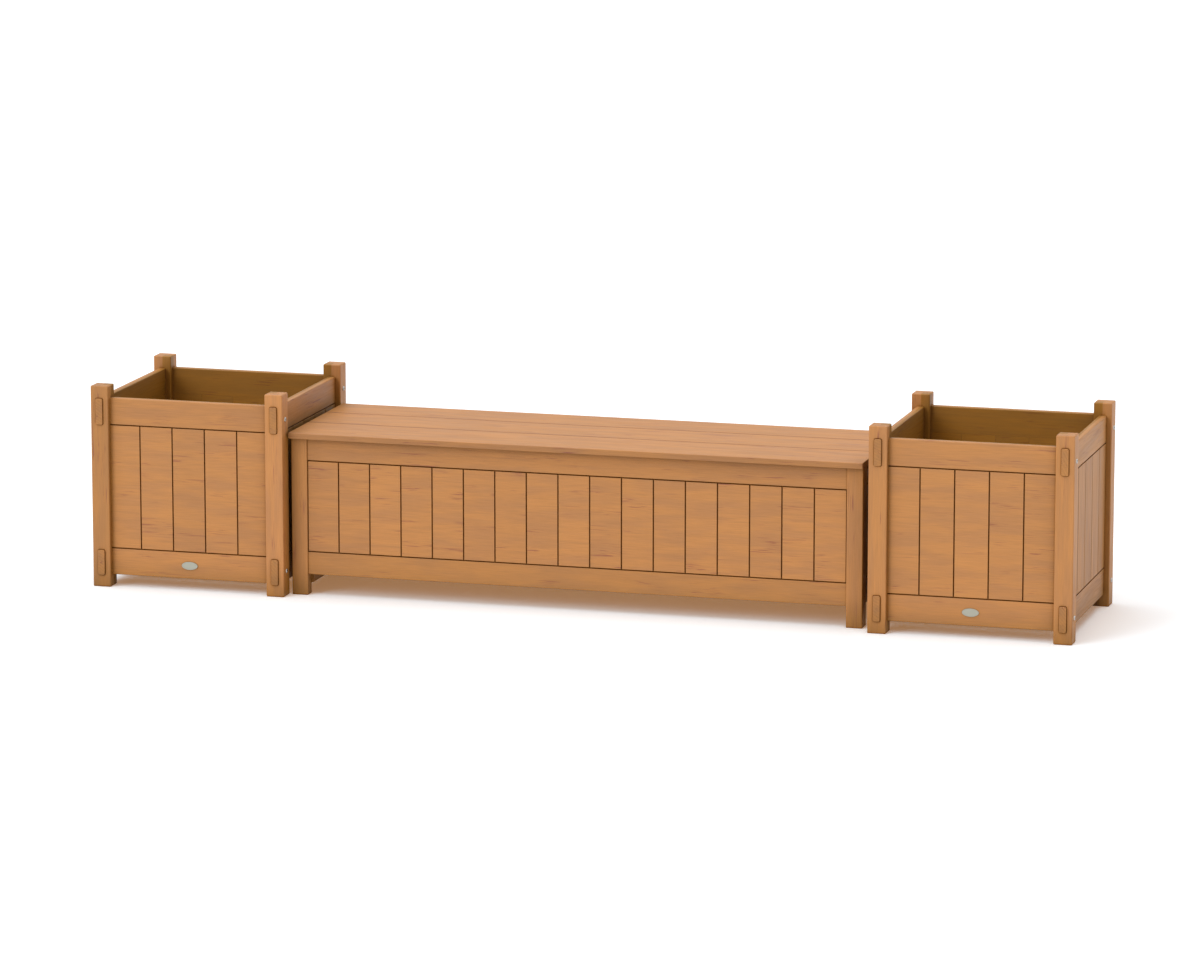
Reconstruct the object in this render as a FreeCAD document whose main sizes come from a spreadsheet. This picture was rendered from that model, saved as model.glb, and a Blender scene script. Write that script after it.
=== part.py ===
import FreeCAD, Part
import os
from types import SimpleNamespace

import Sketcher

# A storage bench with a hinged lid stands between two square planters.
# The origin is on the ground, in the middle of the whole set.
# X runs along the bench, Y from the front to the back, Z up. Sizes are in millimetres.

SIZES = {
    # planter frames
    "planter_width": 502.0,
    "planter_depth": 500.0,
    "post_size": 46.0,
    "post_height": 508.0,
    "post_edge_radius": 3.0,
    "top_rail_top": 477.0,
    "top_rail_height": 66.0,
    "bottom_rail_base": 30.0,
    "bottom_rail_height": 66.0,
    "housing_depth": 7.0,
    "tenon_stand_out": 4.0,
    "tenon_corner_radius": 4.0,
    "tenon_end_radius": 1.5,
    "lower_tenon_shoulder": 2.0,
    "mortise_mouth_chamfer": 1.2,
    "planter_board_count": 5.0,
    # timber shared by the planters and the bench
    "panel_thickness": 18.0,
    "free_edge_radius": 2.5,
    "board_edge_radius": 0.8,
    "groove_width": 3.0,
    "board_joint_gap": 0.3,
    "tongue_thickness": 6.0,
    "tongue_length": 8.0,
    "tongue_end_gap": 0.5,
    "fit_clearance": 0.2,
    "end_clearance": 0.25,
    # planter floors
    "bearer_width": 18.0,
    "bearer_height": 30.0,
    "bearer_base": 34.0,
    "slat_thickness": 14.0,
    "slat_count": 5.0,
    "slat_gap": 8.0,
    # frame bolts, insert nuts and blank plates
    "bolt_diameter": 6.0,
    "bolt_length": 60.0,
    "bolt_head_diameter": 10.4,
    "bolt_head_height": 3.0,
    "bolt_dome_radius": 2.4,
    "bolt_socket_width": 4.0,
    "bolt_socket_depth": 1.6,
    "bolt_seat_diameter": 12.5,
    "bolt_seat_depth": 0.8,
    "top_bolt_drop": 33.0,
    "bottom_bolt_rise": 33.0,
    "bolt_end_room": 1.5,
    "insert_diameter": 10.0,
    "insert_length": 15.0,
    "insert_sink": 0.5,
    "hardware_clearance": 0.1,
    "plate_width": 41.5,
    "plate_height": 20.2,
    "plate_thickness": 1.6,
    "plate_rim": 1.8,
    "plate_sink": 0.5,
    # bench frame
    "bench_length": 1451.8,
    "bench_depth": 400.0,
    "bench_left_gap": 7.3,
    "bench_right_gap": 22.4,
    "bench_setback": 43.8,
    "leg_size": 41.0,
    "leg_edge_radius": 2.5,
    "seat_height": 410.0,
    "lid_thickness": 14.0,
    "lid_rest_gap": 0.2,
    "bench_panel_recess": 4.0,
    "bench_end_recess": 11.5,
    "bench_top_rail_height": 55.5,
    "bench_bottom_rail_base": 52.3,
    "bench_bottom_rail_height": 56.2,
    "bench_board_count": 17.0,
    "bench_end_board_count": 4.0,
    "stub_tenon_thickness": 8.0,
    "stub_tenon_length": 14.0,
    "stub_tenon_shoulder": 9.0,
    # bench floor
    "end_bearer_thickness": 18.0,
    "end_bearer_base": 26.5,
    "end_bearer_edge_radius": 5.0,
    "leg_rebate_depth": 13.0,
    "ledger_height": 20.0,
    "ledger_top": 74.0,
    "floor_board_thickness": 12.0,
    "floor_board_count": 16.0,
    "floor_board_gap": 3.0,
    "floor_side_gap": 1.0,
    # lid
    "lid_front_overhang": 16.5,
    "lid_end_overhang": 1.8,
    "lid_front_board_width": 156.0,
    "lid_middle_board_width": 141.0,
    "lid_back_board_width": 132.0,
    "lid_board_gap": 0.6,
    "lid_edge_radius": 2.5,
    "lid_groove_radius": 2.5,
    "lid_end_radius": 1.2,
    "lid_batten_width": 45.0,
    "lid_batten_thickness": 18.0,
    "lid_batten_end_gap": 8.0,
    "lid_batten_inset": 150.0,
    # hinges and wood screws
    "hinge_leaf_length": 60.0,
    "hinge_leaf_width": 24.0,
    "hinge_leaf_thickness": 2.0,
    "hinge_knuckle_radius": 4.0,
    "hinge_knuckle_gap": 0.3,
    "hinge_running_gap": 0.3,
    "hinge_pin_radius": 2.0,
    "hinge_pin_clearance": 0.05,
    "hinge_pin_head_radius": 3.0,
    "hinge_pin_head_height": 1.2,
    "hinge_inset": 330.0,
    "hinge_screw_spacing": 20.0,
    "hinge_screw_offset": 14.5,
    "screw_diameter": 3.5,
    "screw_head_diameter": 7.0,
    "screw_head_height": 1.8,
    "screw_recess_width": 0.9,
    "screw_recess_span": 3.6,
    "screw_recess_depth": 0.7,
    "hinge_screw_length": 13.0,
    "batten_screw_length": 28.0,
    "batten_screw_spread": 24.0,
}

DOCUMENT = FreeCAD.newDocument("BenchWithPlanters")
X_AXIS = FreeCAD.Vector(1, 0, 0)
Y_AXIS = FreeCAD.Vector(0, 1, 0)
Z_AXIS = FreeCAD.Vector(0, 0, 1)

# ways in which a copy of a piece can be turned
AS_MADE = FreeCAD.Rotation()
FACE_BACK = FreeCAD.Rotation(Z_AXIS, 180)
FACE_LEFT = FreeCAD.Rotation(Z_AXIS, -90)
FACE_RIGHT = FreeCAD.Rotation(Z_AXIS, 90)
POINT_UP = FreeCAD.Rotation(X_AXIS, 180)
POINT_FORWARD = FreeCAD.Rotation(X_AXIS, -90)

# name of each corner, hand of its upright, its side in X and in Y, and the upright's turn
CORNERS = (
    ("front_left", 1, -1, -1, AS_MADE),
    ("front_right", -1, 1, -1, AS_MADE),
    ("back_left", -1, -1, 1, FACE_BACK),
    ("back_right", 1, 1, 1, FACE_BACK),
)
FACES = (("front", -1, AS_MADE), ("back", 1, FACE_BACK))
CUT_THROUGH = 1.0
PICK_TOLERANCE = 0.02

nodes = []


class Size:
    """A length: its value now, and the formula that binds it to the sheet."""

    def __init__(self, value, formula):
        self.value = float(value)
        self.formula = formula

    def __add__(self, other):
        other = as_size(other)
        return Size(self.value + other.value, f"({self.formula} + {other.formula})")

    def __radd__(self, other):
        return as_size(other) + self

    def __sub__(self, other):
        other = as_size(other)
        return Size(self.value - other.value, f"({self.formula} - {other.formula})")

    def __rsub__(self, other):
        return as_size(other) - self

    def __mul__(self, other):
        other = as_size(other)
        return Size(self.value * other.value, f"({self.formula} * {other.formula})")

    def __rmul__(self, other):
        return as_size(other) * self

    def __truediv__(self, other):
        other = as_size(other)
        return Size(self.value / other.value, f"({self.formula} / {other.formula})")

    def __neg__(self):
        return Size(-self.value, f"(0 - {self.formula})")


def as_size(number):
    """Turn a plain number into a Size."""
    if isinstance(number, Size):
        return number
    return Size(number, f"({number:.6g})")


def write_sheet():
    """Fill the sheet and return the sizes by name."""
    sheet = DOCUMENT.addObject("Spreadsheet::Sheet", "Sizes")
    for row, (name, value) in enumerate(SIZES.items(), 1):
        sheet.set(f"A{row}", name)
        sheet.set(f"B{row}", str(value))
        sheet.setAlias(f"B{row}", name)
    DOCUMENT.recompute()
    return SimpleNamespace(**{name: Size(value, f"Sizes.{name}") for name, value in SIZES.items()})


def bind(item, prop, size):
    """Bind one property of an object to a size."""
    item.setExpression(prop, as_size(size).formula)


def place(item, x, y, z, turn=AS_MADE):
    """Turn an object and bind its position."""
    item.Placement = FreeCAD.Placement(FreeCAD.Vector(), turn)
    for axis, size in zip("xyz", (x, y, z)):
        bind(item, f"Placement.Base.{axis}", size)


def both_ways(size):
    """The span that reaches equally far to both sides of zero."""
    return (-size, size)


def mirrored(span, hand):
    """The span as it is, or mirrored when hand is -1."""
    if hand > 0:
        return span
    return (-span[1], -span[0])


def rectangle(across, up):
    """The four corners of a rectangle from its two spans."""
    return [(across[0], up[0]), (across[1], up[0]), (across[1], up[1]), (across[0], up[1])]


def whole(size):
    """A count from the sheet as a whole number."""
    return int(round(size.value))


def row_of(count, pitch):
    """Centre positions of a row of pieces that is centred on zero."""
    return [pitch * (index - (count - 1) / 2) for index in range(count)]


class Piece:
    """One solid piece, built up as a body."""

    def __init__(self, label):
        self.body = DOCUMENT.addObject("PartDesign::Body", label)
        self.body.Label = label

    def feature(self, kind, use):
        """Add a feature with a readable name."""
        count = len(self.body.Group) + 1
        return self.body.newObject(kind, f"{self.body.Name}_{use}_{count}")

    def prism(self, plane, corners, length, centred=True):
        """Sketch an outline on one of the body's own planes and pad it."""
        sketch = self.feature("Sketcher::SketchObject", "outline")
        planes = self.body.Origin.OriginFeatures
        sketch.AttachmentSupport = (next(item for item in planes if item.Role == plane), [""])
        sketch.MapMode = "FlatFace"
        points = [FreeCAD.Vector(as_size(x).value, as_size(y).value, 0) for x, y in corners]
        for index, point in enumerate(points):
            sketch.addGeometry(Part.LineSegment(point, points[(index + 1) % len(points)]), False)
        for index in range(len(points)):
            following = (index + 1) % len(points)
            sketch.addConstraint(Sketcher.Constraint("Coincident", index, 2, following, 1))
        for index, corner in enumerate(corners):
            for axis, size in zip("XY", corner):
                size = as_size(size)
                rule = Sketcher.Constraint(f"Distance{axis}", -1, 1, index, 1, size.value)
                number = sketch.addConstraint(rule)
                name = f"corner_{index}_{axis.lower()}"
                sketch.renameConstraint(number, name)
                bind(sketch, f"Constraints.{name}", size)
        pad = self.feature("PartDesign::Pad", "pad")
        pad.Profile = sketch
        pad.SideType = "Symmetric" if centred else "One side"
        bind(pad, "Length", length)
        sketch.Visibility = False
        return pad

    def box(self, kind, x, y, z):
        """Add or cut a box given by its three spans."""
        item = self.feature(f"PartDesign::{kind}Box", "box")
        for prop, span in (("Length", x), ("Width", y), ("Height", z)):
            bind(item, prop, as_size(span[1]) - span[0])
        place(item, x[0], y[0], z[0])

    def cut_box(self, x, y, z):
        """Cut a box given by its three spans."""
        self.box("Subtractive", x, y, z)

    def add_box(self, x, y, z):
        """Add a box given by its three spans."""
        self.box("Additive", x, y, z)

    def round_bar(self, kind, axis, centre, radius, span):
        """Add or cut a cylinder along an axis; centre gives its other two coordinates."""
        item = self.feature(f"PartDesign::{kind}Cylinder", "round")
        bind(item, "Radius", radius)
        bind(item, "Height", as_size(span[1]) - span[0])
        place_along(item, axis, centre, span[0])

    def cut_hole(self, axis, centre, radius, span):
        """Cut a round hole."""
        self.round_bar("Subtractive", axis, centre, radius, span)

    def add_rod(self, axis, centre, radius, span):
        """Add a round rod."""
        self.round_bar("Additive", axis, centre, radius, span)

    def cone(self, kind, axis, centre, radii, span):
        """Add or cut a cone that runs from the first radius to the second."""
        item = self.feature(f"PartDesign::{kind}Cone", "cone")
        bind(item, "Radius1", radii[0])
        bind(item, "Radius2", radii[1])
        bind(item, "Height", as_size(span[1]) - span[0])
        place_along(item, axis, centre, span[0])

    def edges(self, along, **spans):
        """Name the edges whose middle lies within the given spans."""
        self.body.recompute(True)
        found = []
        for number, edge in enumerate(self.body.Shape.Edges, 1):
            if along and not runs_along(edge, along):
                continue
            middle = edge.CenterOfMass
            inside = True
            for axis, span in spans.items():
                low = as_size(span[0]).value - PICK_TOLERANCE
                high = as_size(span[1]).value + PICK_TOLERANCE
                inside = inside and low <= getattr(middle, axis) <= high
            if inside:
                found.append(f"Edge{number}")
        return found

    def round_off(self, radius, along=None, **spans):
        """Round the edges whose middle lies within the given spans."""
        names = self.edges(along, **spans)
        base = self.body.Tip
        fillet = self.feature("PartDesign::Fillet", "rounding")
        fillet.Base = (base, names)
        bind(fillet, "Radius", radius)

    def bevel(self, width, along=None, **spans):
        """Chamfer the edges whose middle lies within the given spans."""
        names = self.edges(along, **spans)
        base = self.body.Tip
        chamfer = self.feature("PartDesign::Chamfer", "chamfer")
        chamfer.Base = (base, names)
        bind(chamfer, "Size", width)

    def put(self, x, y, z, turn=AS_MADE):
        """Place the body and keep it as a node of its own."""
        place(self.body, x, y, z, turn)
        nodes.append(self.body)


def place_along(item, axis, centre, start):
    """Lay a round primitive along an axis, from the given start."""
    if axis == "x":
        place(item, start, centre[0], centre[1], FreeCAD.Rotation(Y_AXIS, 90))
    elif axis == "y":
        place(item, centre[0], start, centre[1], FreeCAD.Rotation(X_AXIS, -90))
    else:
        place(item, centre[0], centre[1], start)


def runs_along(edge, axis):
    """Whether an edge is straight and parallel to the named axis."""
    if edge.Degenerated or not isinstance(edge.Curve, Part.Line):
        return False
    run = edge.Vertexes[-1].Point - edge.Vertexes[0].Point
    return abs(abs(getattr(run, axis)) - run.Length) < PICK_TOLERANCE


def group(label, copies, x=0.0, y=0.0, z=0.0):
    """Join separate copies of pieces in one node; each copy is (piece, x, y, z, turn)."""
    links = []
    for number, (piece, copy_x, copy_y, copy_z, turn) in enumerate(copies, 1):
        link = DOCUMENT.addObject("App::Link", f"{label}_{number}")
        link.LinkedObject = piece
        place(link, copy_x, copy_y, copy_z, turn)
        links.append(link)
    compound = DOCUMENT.addObject("Part::Compound", label)
    compound.Label = label
    compound.Links = links
    place(compound, x, y, z)
    nodes.append(compound)


size = write_sheet()

# places that several pieces share
half_panel = size.panel_thickness / 2
half_post = size.post_size / 2
half_leg = size.leg_size / 2
bolt_radius = size.bolt_diameter / 2
bolt_hole_radius = bolt_radius + size.hardware_clearance
top_rail_base = size.top_rail_top - size.top_rail_height
bottom_rail_top = size.bottom_rail_base + size.bottom_rail_height
panel_height = top_rail_base - bottom_rail_top
upper_bolt_level = size.top_rail_top - size.top_bolt_drop
lower_bolt_level = size.bottom_rail_base + size.bottom_bolt_rise
lower_tenon_height = size.bottom_rail_height - size.lower_tenon_shoulder
total_length = (
    2 * size.planter_width + size.bench_left_gap + size.bench_length + size.bench_right_gap
)
left_planter_x = -total_length / 2 + size.planter_width / 2
right_planter_x = total_length / 2 - size.planter_width / 2
bench_x = (
    -total_length / 2 + size.planter_width + size.bench_left_gap + size.bench_length / 2
)
bench_y = -size.planter_depth / 2 + size.bench_setback + size.bench_depth / 2
post_centre_x = size.planter_width / 2 - half_post
post_centre_y = size.planter_depth / 2 - half_post
rail_end_x = size.planter_width / 2 - size.post_size + size.housing_depth - size.end_clearance
between_posts_y = size.planter_depth / 2 - size.post_size
inside_x = post_centre_x - half_panel
front_board_pitch = 2 * rail_end_x / size.planter_board_count
side_board_pitch = (
    2 * (between_posts_y + size.housing_depth - size.end_clearance) / size.planter_board_count
)
slat_pitch = 2 * between_posts_y / size.slat_count
bolt_seat_x = size.planter_width / 2 - size.bolt_seat_depth
bolt_reach = size.bolt_length - (bolt_seat_x - rail_end_x)

# heights and depths of the bench
lid_underside = size.seat_height - size.lid_thickness
leg_height = lid_underside - size.lid_rest_gap
bench_top_rail_base = leg_height - size.bench_top_rail_height
bench_bottom_rail_top = size.bench_bottom_rail_base + size.bench_bottom_rail_height
bench_panel_height = bench_top_rail_base - bench_bottom_rail_top
bench_rail_y = size.bench_depth / 2 - size.bench_panel_recess - half_panel
bench_rail_length = size.bench_length - 2 * size.leg_size
bench_end_rail_x = size.bench_length / 2 - size.bench_end_recess - half_panel
bench_end_rail_length = size.bench_depth - 2 * size.leg_size
inside_face_y = bench_rail_y - half_panel
end_bearer_x = bench_end_rail_x - half_panel - size.end_bearer_thickness / 2

# the hinge pins' line, in the bench's own frame
hinge_offset = size.hinge_knuckle_radius + size.hinge_running_gap
hinge_y = bench_rail_y + half_panel + hinge_offset
hinge_z = lid_underside - hinge_offset
outer_hinge_x = size.bench_length / 2 - size.hinge_inset
hinge_places = [-outer_hinge_x, as_size(0), outer_hinge_x]
screw_radius = size.screw_diameter / 2
screw_hole_radius = screw_radius + size.hardware_clearance
knuckle_length = size.hinge_leaf_length / 5


def make_post(label, hand, x, y, turn):
    """A planter post, rounded, mortised for the side rails and housed for the panels."""
    post = Piece(label)
    section = rectangle(both_ways(half_post), both_ways(half_post))
    post.prism("XY_Plane", section, size.post_height, centred=False)
    post.round_off(size.post_edge_radius)
    window = both_ways(half_panel + size.fit_clearance)
    through = both_ways(half_post + CUT_THROUGH)
    tenons = (
        (top_rail_base, size.top_rail_height),
        (size.bottom_rail_base, lower_tenon_height),
    )
    for base, height in tenons:
        span = (base - size.fit_clearance, base + height + size.fit_clearance)
        post.cut_box(window, through, span)
        post.round_off(size.tenon_corner_radius, along="y", x=window, z=span)
        post.bevel(size.mortise_mouth_chamfer, x=window, y=(-half_post, -half_post), z=span)
    inner = (half_post - size.housing_depth, half_post + CUT_THROUGH)
    front_housing = (
        size.bottom_rail_base - size.fit_clearance,
        size.top_rail_top + size.fit_clearance,
    )
    side_housing = (size.bottom_rail_base + lower_tenon_height, top_rail_base)
    post.cut_box(mirrored(inner, hand), window, front_housing)
    post.cut_box(window, inner, side_housing)
    seat = mirrored((-half_post - CUT_THROUGH, -half_post + size.bolt_seat_depth), hand)
    for level in (upper_bolt_level, lower_bolt_level):
        post.cut_hole("x", (0, level), bolt_hole_radius, through)
        post.cut_hole("x", (0, level), size.bolt_seat_diameter / 2, seat)
    post.put(x, y, 0, turn)


def make_planter_rail(label, height, bolt_rise, groove_on_top, x, y, z, turn):
    """A front or back rail, let into the posts and held by bolts in insert nuts."""
    rail = Piece(label)
    length = 2 * rail_end_x
    rail.prism("YZ_Plane", rectangle(both_ways(half_panel), (0, height)), length)
    finish_panel_rail(rail, "x", height, groove_on_top, length / 2 + CUT_THROUGH)
    insert_reach = size.insert_sink + size.insert_length + size.hardware_clearance
    for end in (-1, 1):
        for reach, radius in (
            (bolt_reach + size.bolt_end_room, bolt_hole_radius),
            (insert_reach, size.insert_diameter / 2 + size.hardware_clearance),
        ):
            bore = mirrored((length / 2 - reach, length / 2 + CUT_THROUGH), end)
            rail.cut_hole("x", (0, bolt_rise), radius, bore)
    rail.put(x, y, z, turn)


def finish_panel_rail(rail, along, height, groove_on_top, reach):
    """Groove a rail for the boards' tongues and round its edges."""
    slot = both_ways(size.tongue_thickness / 2 + size.fit_clearance)
    depth = size.tongue_length + size.tongue_end_gap
    faces = both_ways(half_panel)
    across = "y" if along == "x" else "x"
    free, joined = (as_size(0), height) if groove_on_top else (height, as_size(0))
    outer = (-half_panel, -half_panel)
    rail.round_off(size.free_edge_radius, along=along, **{across: faces, "z": (free, free)})
    rail.round_off(size.board_edge_radius, along=along, **{across: outer, "z": (joined, joined)})
    cut = (height - depth, height + CUT_THROUGH) if groove_on_top else (-CUT_THROUGH, depth)
    run = both_ways(reach)
    if along == "x":
        rail.cut_box(run, slot, cut)
    else:
        rail.cut_box(slot, run, cut)


def make_side_rail(label, height, shoulder, bolt_rise, groove_on_top):
    """A side rail, whose tenons pass through the posts and stand out."""
    rail = Piece(label)
    tenon_end = size.planter_depth / 2 + size.tenon_stand_out
    tenon_top = height - shoulder
    rail.prism("XZ_Plane", rectangle(both_ways(half_panel), (0, tenon_top)), 2 * tenon_end)
    rail.round_off(size.tenon_corner_radius, along="y")
    for end in both_ways(tenon_end):
        rail.round_off(size.tenon_end_radius, y=(end, end))
    rail.add_box(both_ways(half_panel), both_ways(between_posts_y), (0, height))
    finish_panel_rail(rail, "y", height, groove_on_top, between_posts_y + size.housing_depth)
    for end in both_ways(post_centre_y):
        rail.cut_hole("x", (end, bolt_rise), bolt_hole_radius, both_ways(half_panel + CUT_THROUGH))
    return rail.body


def make_board(label, pitch, height):
    """A panel board with tongues at its ends and rebates that form the grooves."""
    board = Piece(label)
    half_tongue = size.tongue_thickness / 2
    tip = size.tongue_length
    gap = size.fit_clearance
    corners = [
        (-half_panel, size.groove_width),
        (-half_tongue, size.groove_width),
        (-half_tongue, -tip),
        (half_tongue, -tip),
        (half_tongue, gap),
        (half_panel, gap),
        (half_panel, height - gap),
        (half_tongue, height - gap),
        (half_tongue, height + tip),
        (-half_tongue, height + tip),
        (-half_tongue, height - size.groove_width),
        (-half_panel, height - size.groove_width),
    ]
    width = pitch - size.board_joint_gap
    board.prism("YZ_Plane", corners, width)
    rebate = (size.groove_width - size.board_joint_gap) / 2
    front = (-half_panel - CUT_THROUGH, -half_tongue)
    for hand in (-1, 1):
        edge = mirrored((width / 2 - rebate, width / 2 + CUT_THROUGH), hand)
        board.cut_box(edge, front, (-tip - CUT_THROUGH, height + tip + CUT_THROUGH))
    board.round_off(size.board_edge_radius, y=(-half_panel, -half_panel))
    return board.body


def make_planter_pieces():
    """The pieces of which each planter holds several copies."""
    top_bolt_rise = size.top_rail_height - size.top_bolt_drop
    bearer = Piece("planter_bearer_piece")
    section = rectangle(both_ways(size.bearer_width / 2), (0, size.bearer_height))
    bearer.prism("XZ_Plane", section, 2 * (between_posts_y - size.end_clearance))
    bearer.round_off(size.board_edge_radius)
    slat = Piece("planter_slat_piece")
    section = rectangle(both_ways((slat_pitch - size.slat_gap) / 2), (0, size.slat_thickness))
    slat.prism("YZ_Plane", section, 2 * (inside_x - size.end_clearance))
    slat.round_off(size.board_edge_radius)
    return SimpleNamespace(
        top_side_rail=make_side_rail(
            "planter_top_side_rail_piece", size.top_rail_height, 0.0, top_bolt_rise, False
        ),
        bottom_side_rail=make_side_rail(
            "planter_bottom_side_rail_piece", size.bottom_rail_height,
            size.lower_tenon_shoulder, size.bottom_bolt_rise, True,
        ),
        front_board=make_board("planter_front_board_piece", front_board_pitch, panel_height),
        side_board=make_board("planter_side_board_piece", side_board_pitch, panel_height),
        bearer=bearer.body,
        slat=slat.body,
    )


def make_planter(prefix, x, pieces):
    """One planter: posts, rails, boarded panels and a slatted floor."""
    for name, hand, side_x, side_y, turn in CORNERS:
        post_x = x + side_x * post_centre_x
        make_post(f"{prefix}_post_{name}", hand, post_x, side_y * post_centre_y, turn)
    count = whole(size.planter_board_count)
    for name, side_y, turn in FACES:
        y = side_y * post_centre_y
        make_planter_rail(
            f"{prefix}_{name}_top_rail", size.top_rail_height,
            size.top_rail_height - size.top_bolt_drop, False, x, y, top_rail_base, turn,
        )
        make_planter_rail(
            f"{prefix}_{name}_bottom_rail", size.bottom_rail_height, size.bottom_bolt_rise,
            True, x, y, size.bottom_rail_base, turn,
        )
        places = row_of(count, front_board_pitch)
        copies = [(pieces.front_board, across, y, 0, turn) for across in places]
        group(f"{prefix}_{name}_boards", copies, x, 0, bottom_rail_top)
    side_rails = (
        ("top", pieces.top_side_rail, top_rail_base),
        ("bottom", pieces.bottom_side_rail, size.bottom_rail_base),
    )
    for name, rail, base in side_rails:
        copies = [
            (rail, -post_centre_x, 0, 0, AS_MADE),
            (rail, post_centre_x, 0, 0, FACE_BACK),
        ]
        group(f"{prefix}_side_{name}_rails", copies, x, 0, base)
    copies = []
    for side_x, turn in ((-1, FACE_LEFT), (1, FACE_RIGHT)):
        for along in row_of(count, side_board_pitch):
            copies.append((pieces.side_board, side_x * post_centre_x, along, 0, turn))
    group(f"{prefix}_side_boards", copies, x, 0, bottom_rail_top)
    bearer_x = inside_x - size.bearer_width / 2
    copies = [(pieces.bearer, side * bearer_x, 0, 0, AS_MADE) for side in (-1, 1)]
    group(f"{prefix}_floor_bearers", copies, x, 0, size.bearer_base)
    places = row_of(whole(size.slat_count), slat_pitch)
    copies = [(pieces.slat, 0, along, 0, AS_MADE) for along in places]
    group(f"{prefix}_floor_slats", copies, x, 0, size.bearer_base + size.bearer_height)


def make_frame_bolts():
    """Domed bolts through the posts and tenons, and the insert nuts in the rails' ends."""
    bolt = Piece("frame_bolt_piece")
    head_radius = size.bolt_head_diameter / 2
    bolt.add_rod("x", (0, 0), head_radius, (-size.bolt_head_height, 0))
    bolt.round_off(size.bolt_dome_radius, x=(-size.bolt_head_height, -size.bolt_head_height))
    bolt.add_rod("x", (0, 0), bolt_radius, (0, size.bolt_length))
    half_socket = both_ways(size.bolt_socket_width / 2)
    socket = (-size.bolt_head_height - CUT_THROUGH, -size.bolt_head_height + size.bolt_socket_depth)
    bolt.cut_box(socket, half_socket, half_socket)
    nut = Piece("insert_nut_piece")
    nut.add_rod("x", (0, 0), size.insert_diameter / 2, both_ways(size.insert_length / 2))
    nut.cut_hole("x", (0, 0), bolt_hole_radius, both_ways(size.insert_length / 2 + CUT_THROUGH))
    nut_x = rail_end_x - size.insert_sink - size.insert_length / 2
    bolt_copies = []
    nut_copies = []
    for planter_x in (left_planter_x, right_planter_x):
        for side_x in (-1, 1):
            turn = AS_MADE if side_x < 0 else FACE_BACK
            for side_y in (-1, 1):
                for level in (upper_bolt_level, lower_bolt_level):
                    y = side_y * post_centre_y
                    bolt_x = planter_x + side_x * bolt_seat_x
                    bolt_copies.append((bolt.body, bolt_x, y, level, turn))
                    insert_x = planter_x + side_x * nut_x
                    nut_copies.append((nut.body, insert_x, y, level, AS_MADE))
    group("planter_frame_bolts", bolt_copies)
    group("planter_insert_nuts", nut_copies)


def make_oval(label, width, height, thickness, start):
    """A solid oval disc that faces the front."""
    ellipse = DOCUMENT.addObject("Part::Ellipse", f"{label}_outline")
    bind(ellipse, "MajorRadius", width / 2)
    bind(ellipse, "MinorRadius", height / 2)
    place(ellipse, 0, start, 0, FreeCAD.Rotation(X_AXIS, 90))
    disc = DOCUMENT.addObject("Part::Extrusion", label)
    disc.Base = ellipse
    disc.DirMode = "Custom"
    disc.Dir = -Y_AXIS
    disc.Solid = True
    bind(disc, "LengthFwd", thickness)
    return disc


def make_oval_plates():
    """A blank metal plate with a raised rim on each planter's front bottom rail."""
    blank = make_oval(
        "plate_blank", size.plate_width, size.plate_height, size.plate_thickness, as_size(0)
    )
    sink = make_oval(
        "plate_sink_cutter",
        size.plate_width - 2 * size.plate_rim,
        size.plate_height - 2 * size.plate_rim,
        size.plate_sink + CUT_THROUGH,
        size.plate_sink - size.plate_thickness,
    )
    plate = DOCUMENT.addObject("Part::Cut", "plate_piece")
    plate.Base = blank
    plate.Tool = sink
    y = -(post_centre_y + half_panel)
    z = size.bottom_rail_base + size.bottom_bolt_rise
    copies = [(plate, planter_x, y, z, AS_MADE) for planter_x in (left_planter_x, right_planter_x)]
    group("planter_oval_plates", copies)


def make_leg(label, hand, side_x, side_y, turn):
    """A bench leg with stub mortises and a rebate for the end bearer."""
    leg = Piece(label)
    section = rectangle(both_ways(half_leg), both_ways(half_leg))
    leg.prism("XY_Plane", section, leg_height, centred=False)
    leg.round_off(size.leg_edge_radius)
    half_stub = size.stub_tenon_thickness / 2 + size.fit_clearance
    inner = (half_leg - size.stub_tenon_length, half_leg + CUT_THROUGH)
    front_centre = -half_leg + size.bench_panel_recess + half_panel
    end_centre = -half_leg + size.bench_end_recess + half_panel
    shoulder = size.stub_tenon_shoulder - size.fit_clearance
    levels = (
        (bench_top_rail_base + shoulder, leg_height - shoulder),
        (size.bench_bottom_rail_base + shoulder, bench_bottom_rail_top - shoulder),
    )
    front_slot = (front_centre - half_stub, front_centre + half_stub)
    end_slot = (end_centre - half_stub, end_centre + half_stub)
    for level in levels:
        leg.cut_box(mirrored(inner, hand), front_slot, level)
        leg.cut_box(mirrored(end_slot, hand), inner, level)
    rebate_x = (end_centre + half_panel - size.fit_clearance, half_leg + CUT_THROUGH)
    rebate_y = (half_leg - size.leg_rebate_depth, half_leg + CUT_THROUGH)
    leg.cut_box(mirrored(rebate_x, hand), rebate_y, (-CUT_THROUGH, leg_height + CUT_THROUGH))
    leg_x = size.bench_length / 2 - half_leg
    leg_y = size.bench_depth / 2 - half_leg
    leg.put(bench_x + side_x * leg_x, bench_y + side_y * leg_y, 0, turn)


def bench_rail(label, length, height, groove_on_top):
    """A bench rail with a stub tenon at each end."""
    rail = Piece(label)
    rail.prism("YZ_Plane", rectangle(both_ways(half_panel), (0, height)), length)
    finish_panel_rail(rail, "x", height, groove_on_top, length / 2 + CUT_THROUGH)
    stub_reach = length / 2 + size.stub_tenon_length - size.tongue_end_gap
    rail.add_box(
        both_ways(stub_reach),
        both_ways(size.stub_tenon_thickness / 2),
        (size.stub_tenon_shoulder, height - size.stub_tenon_shoulder),
    )
    return rail


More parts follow.
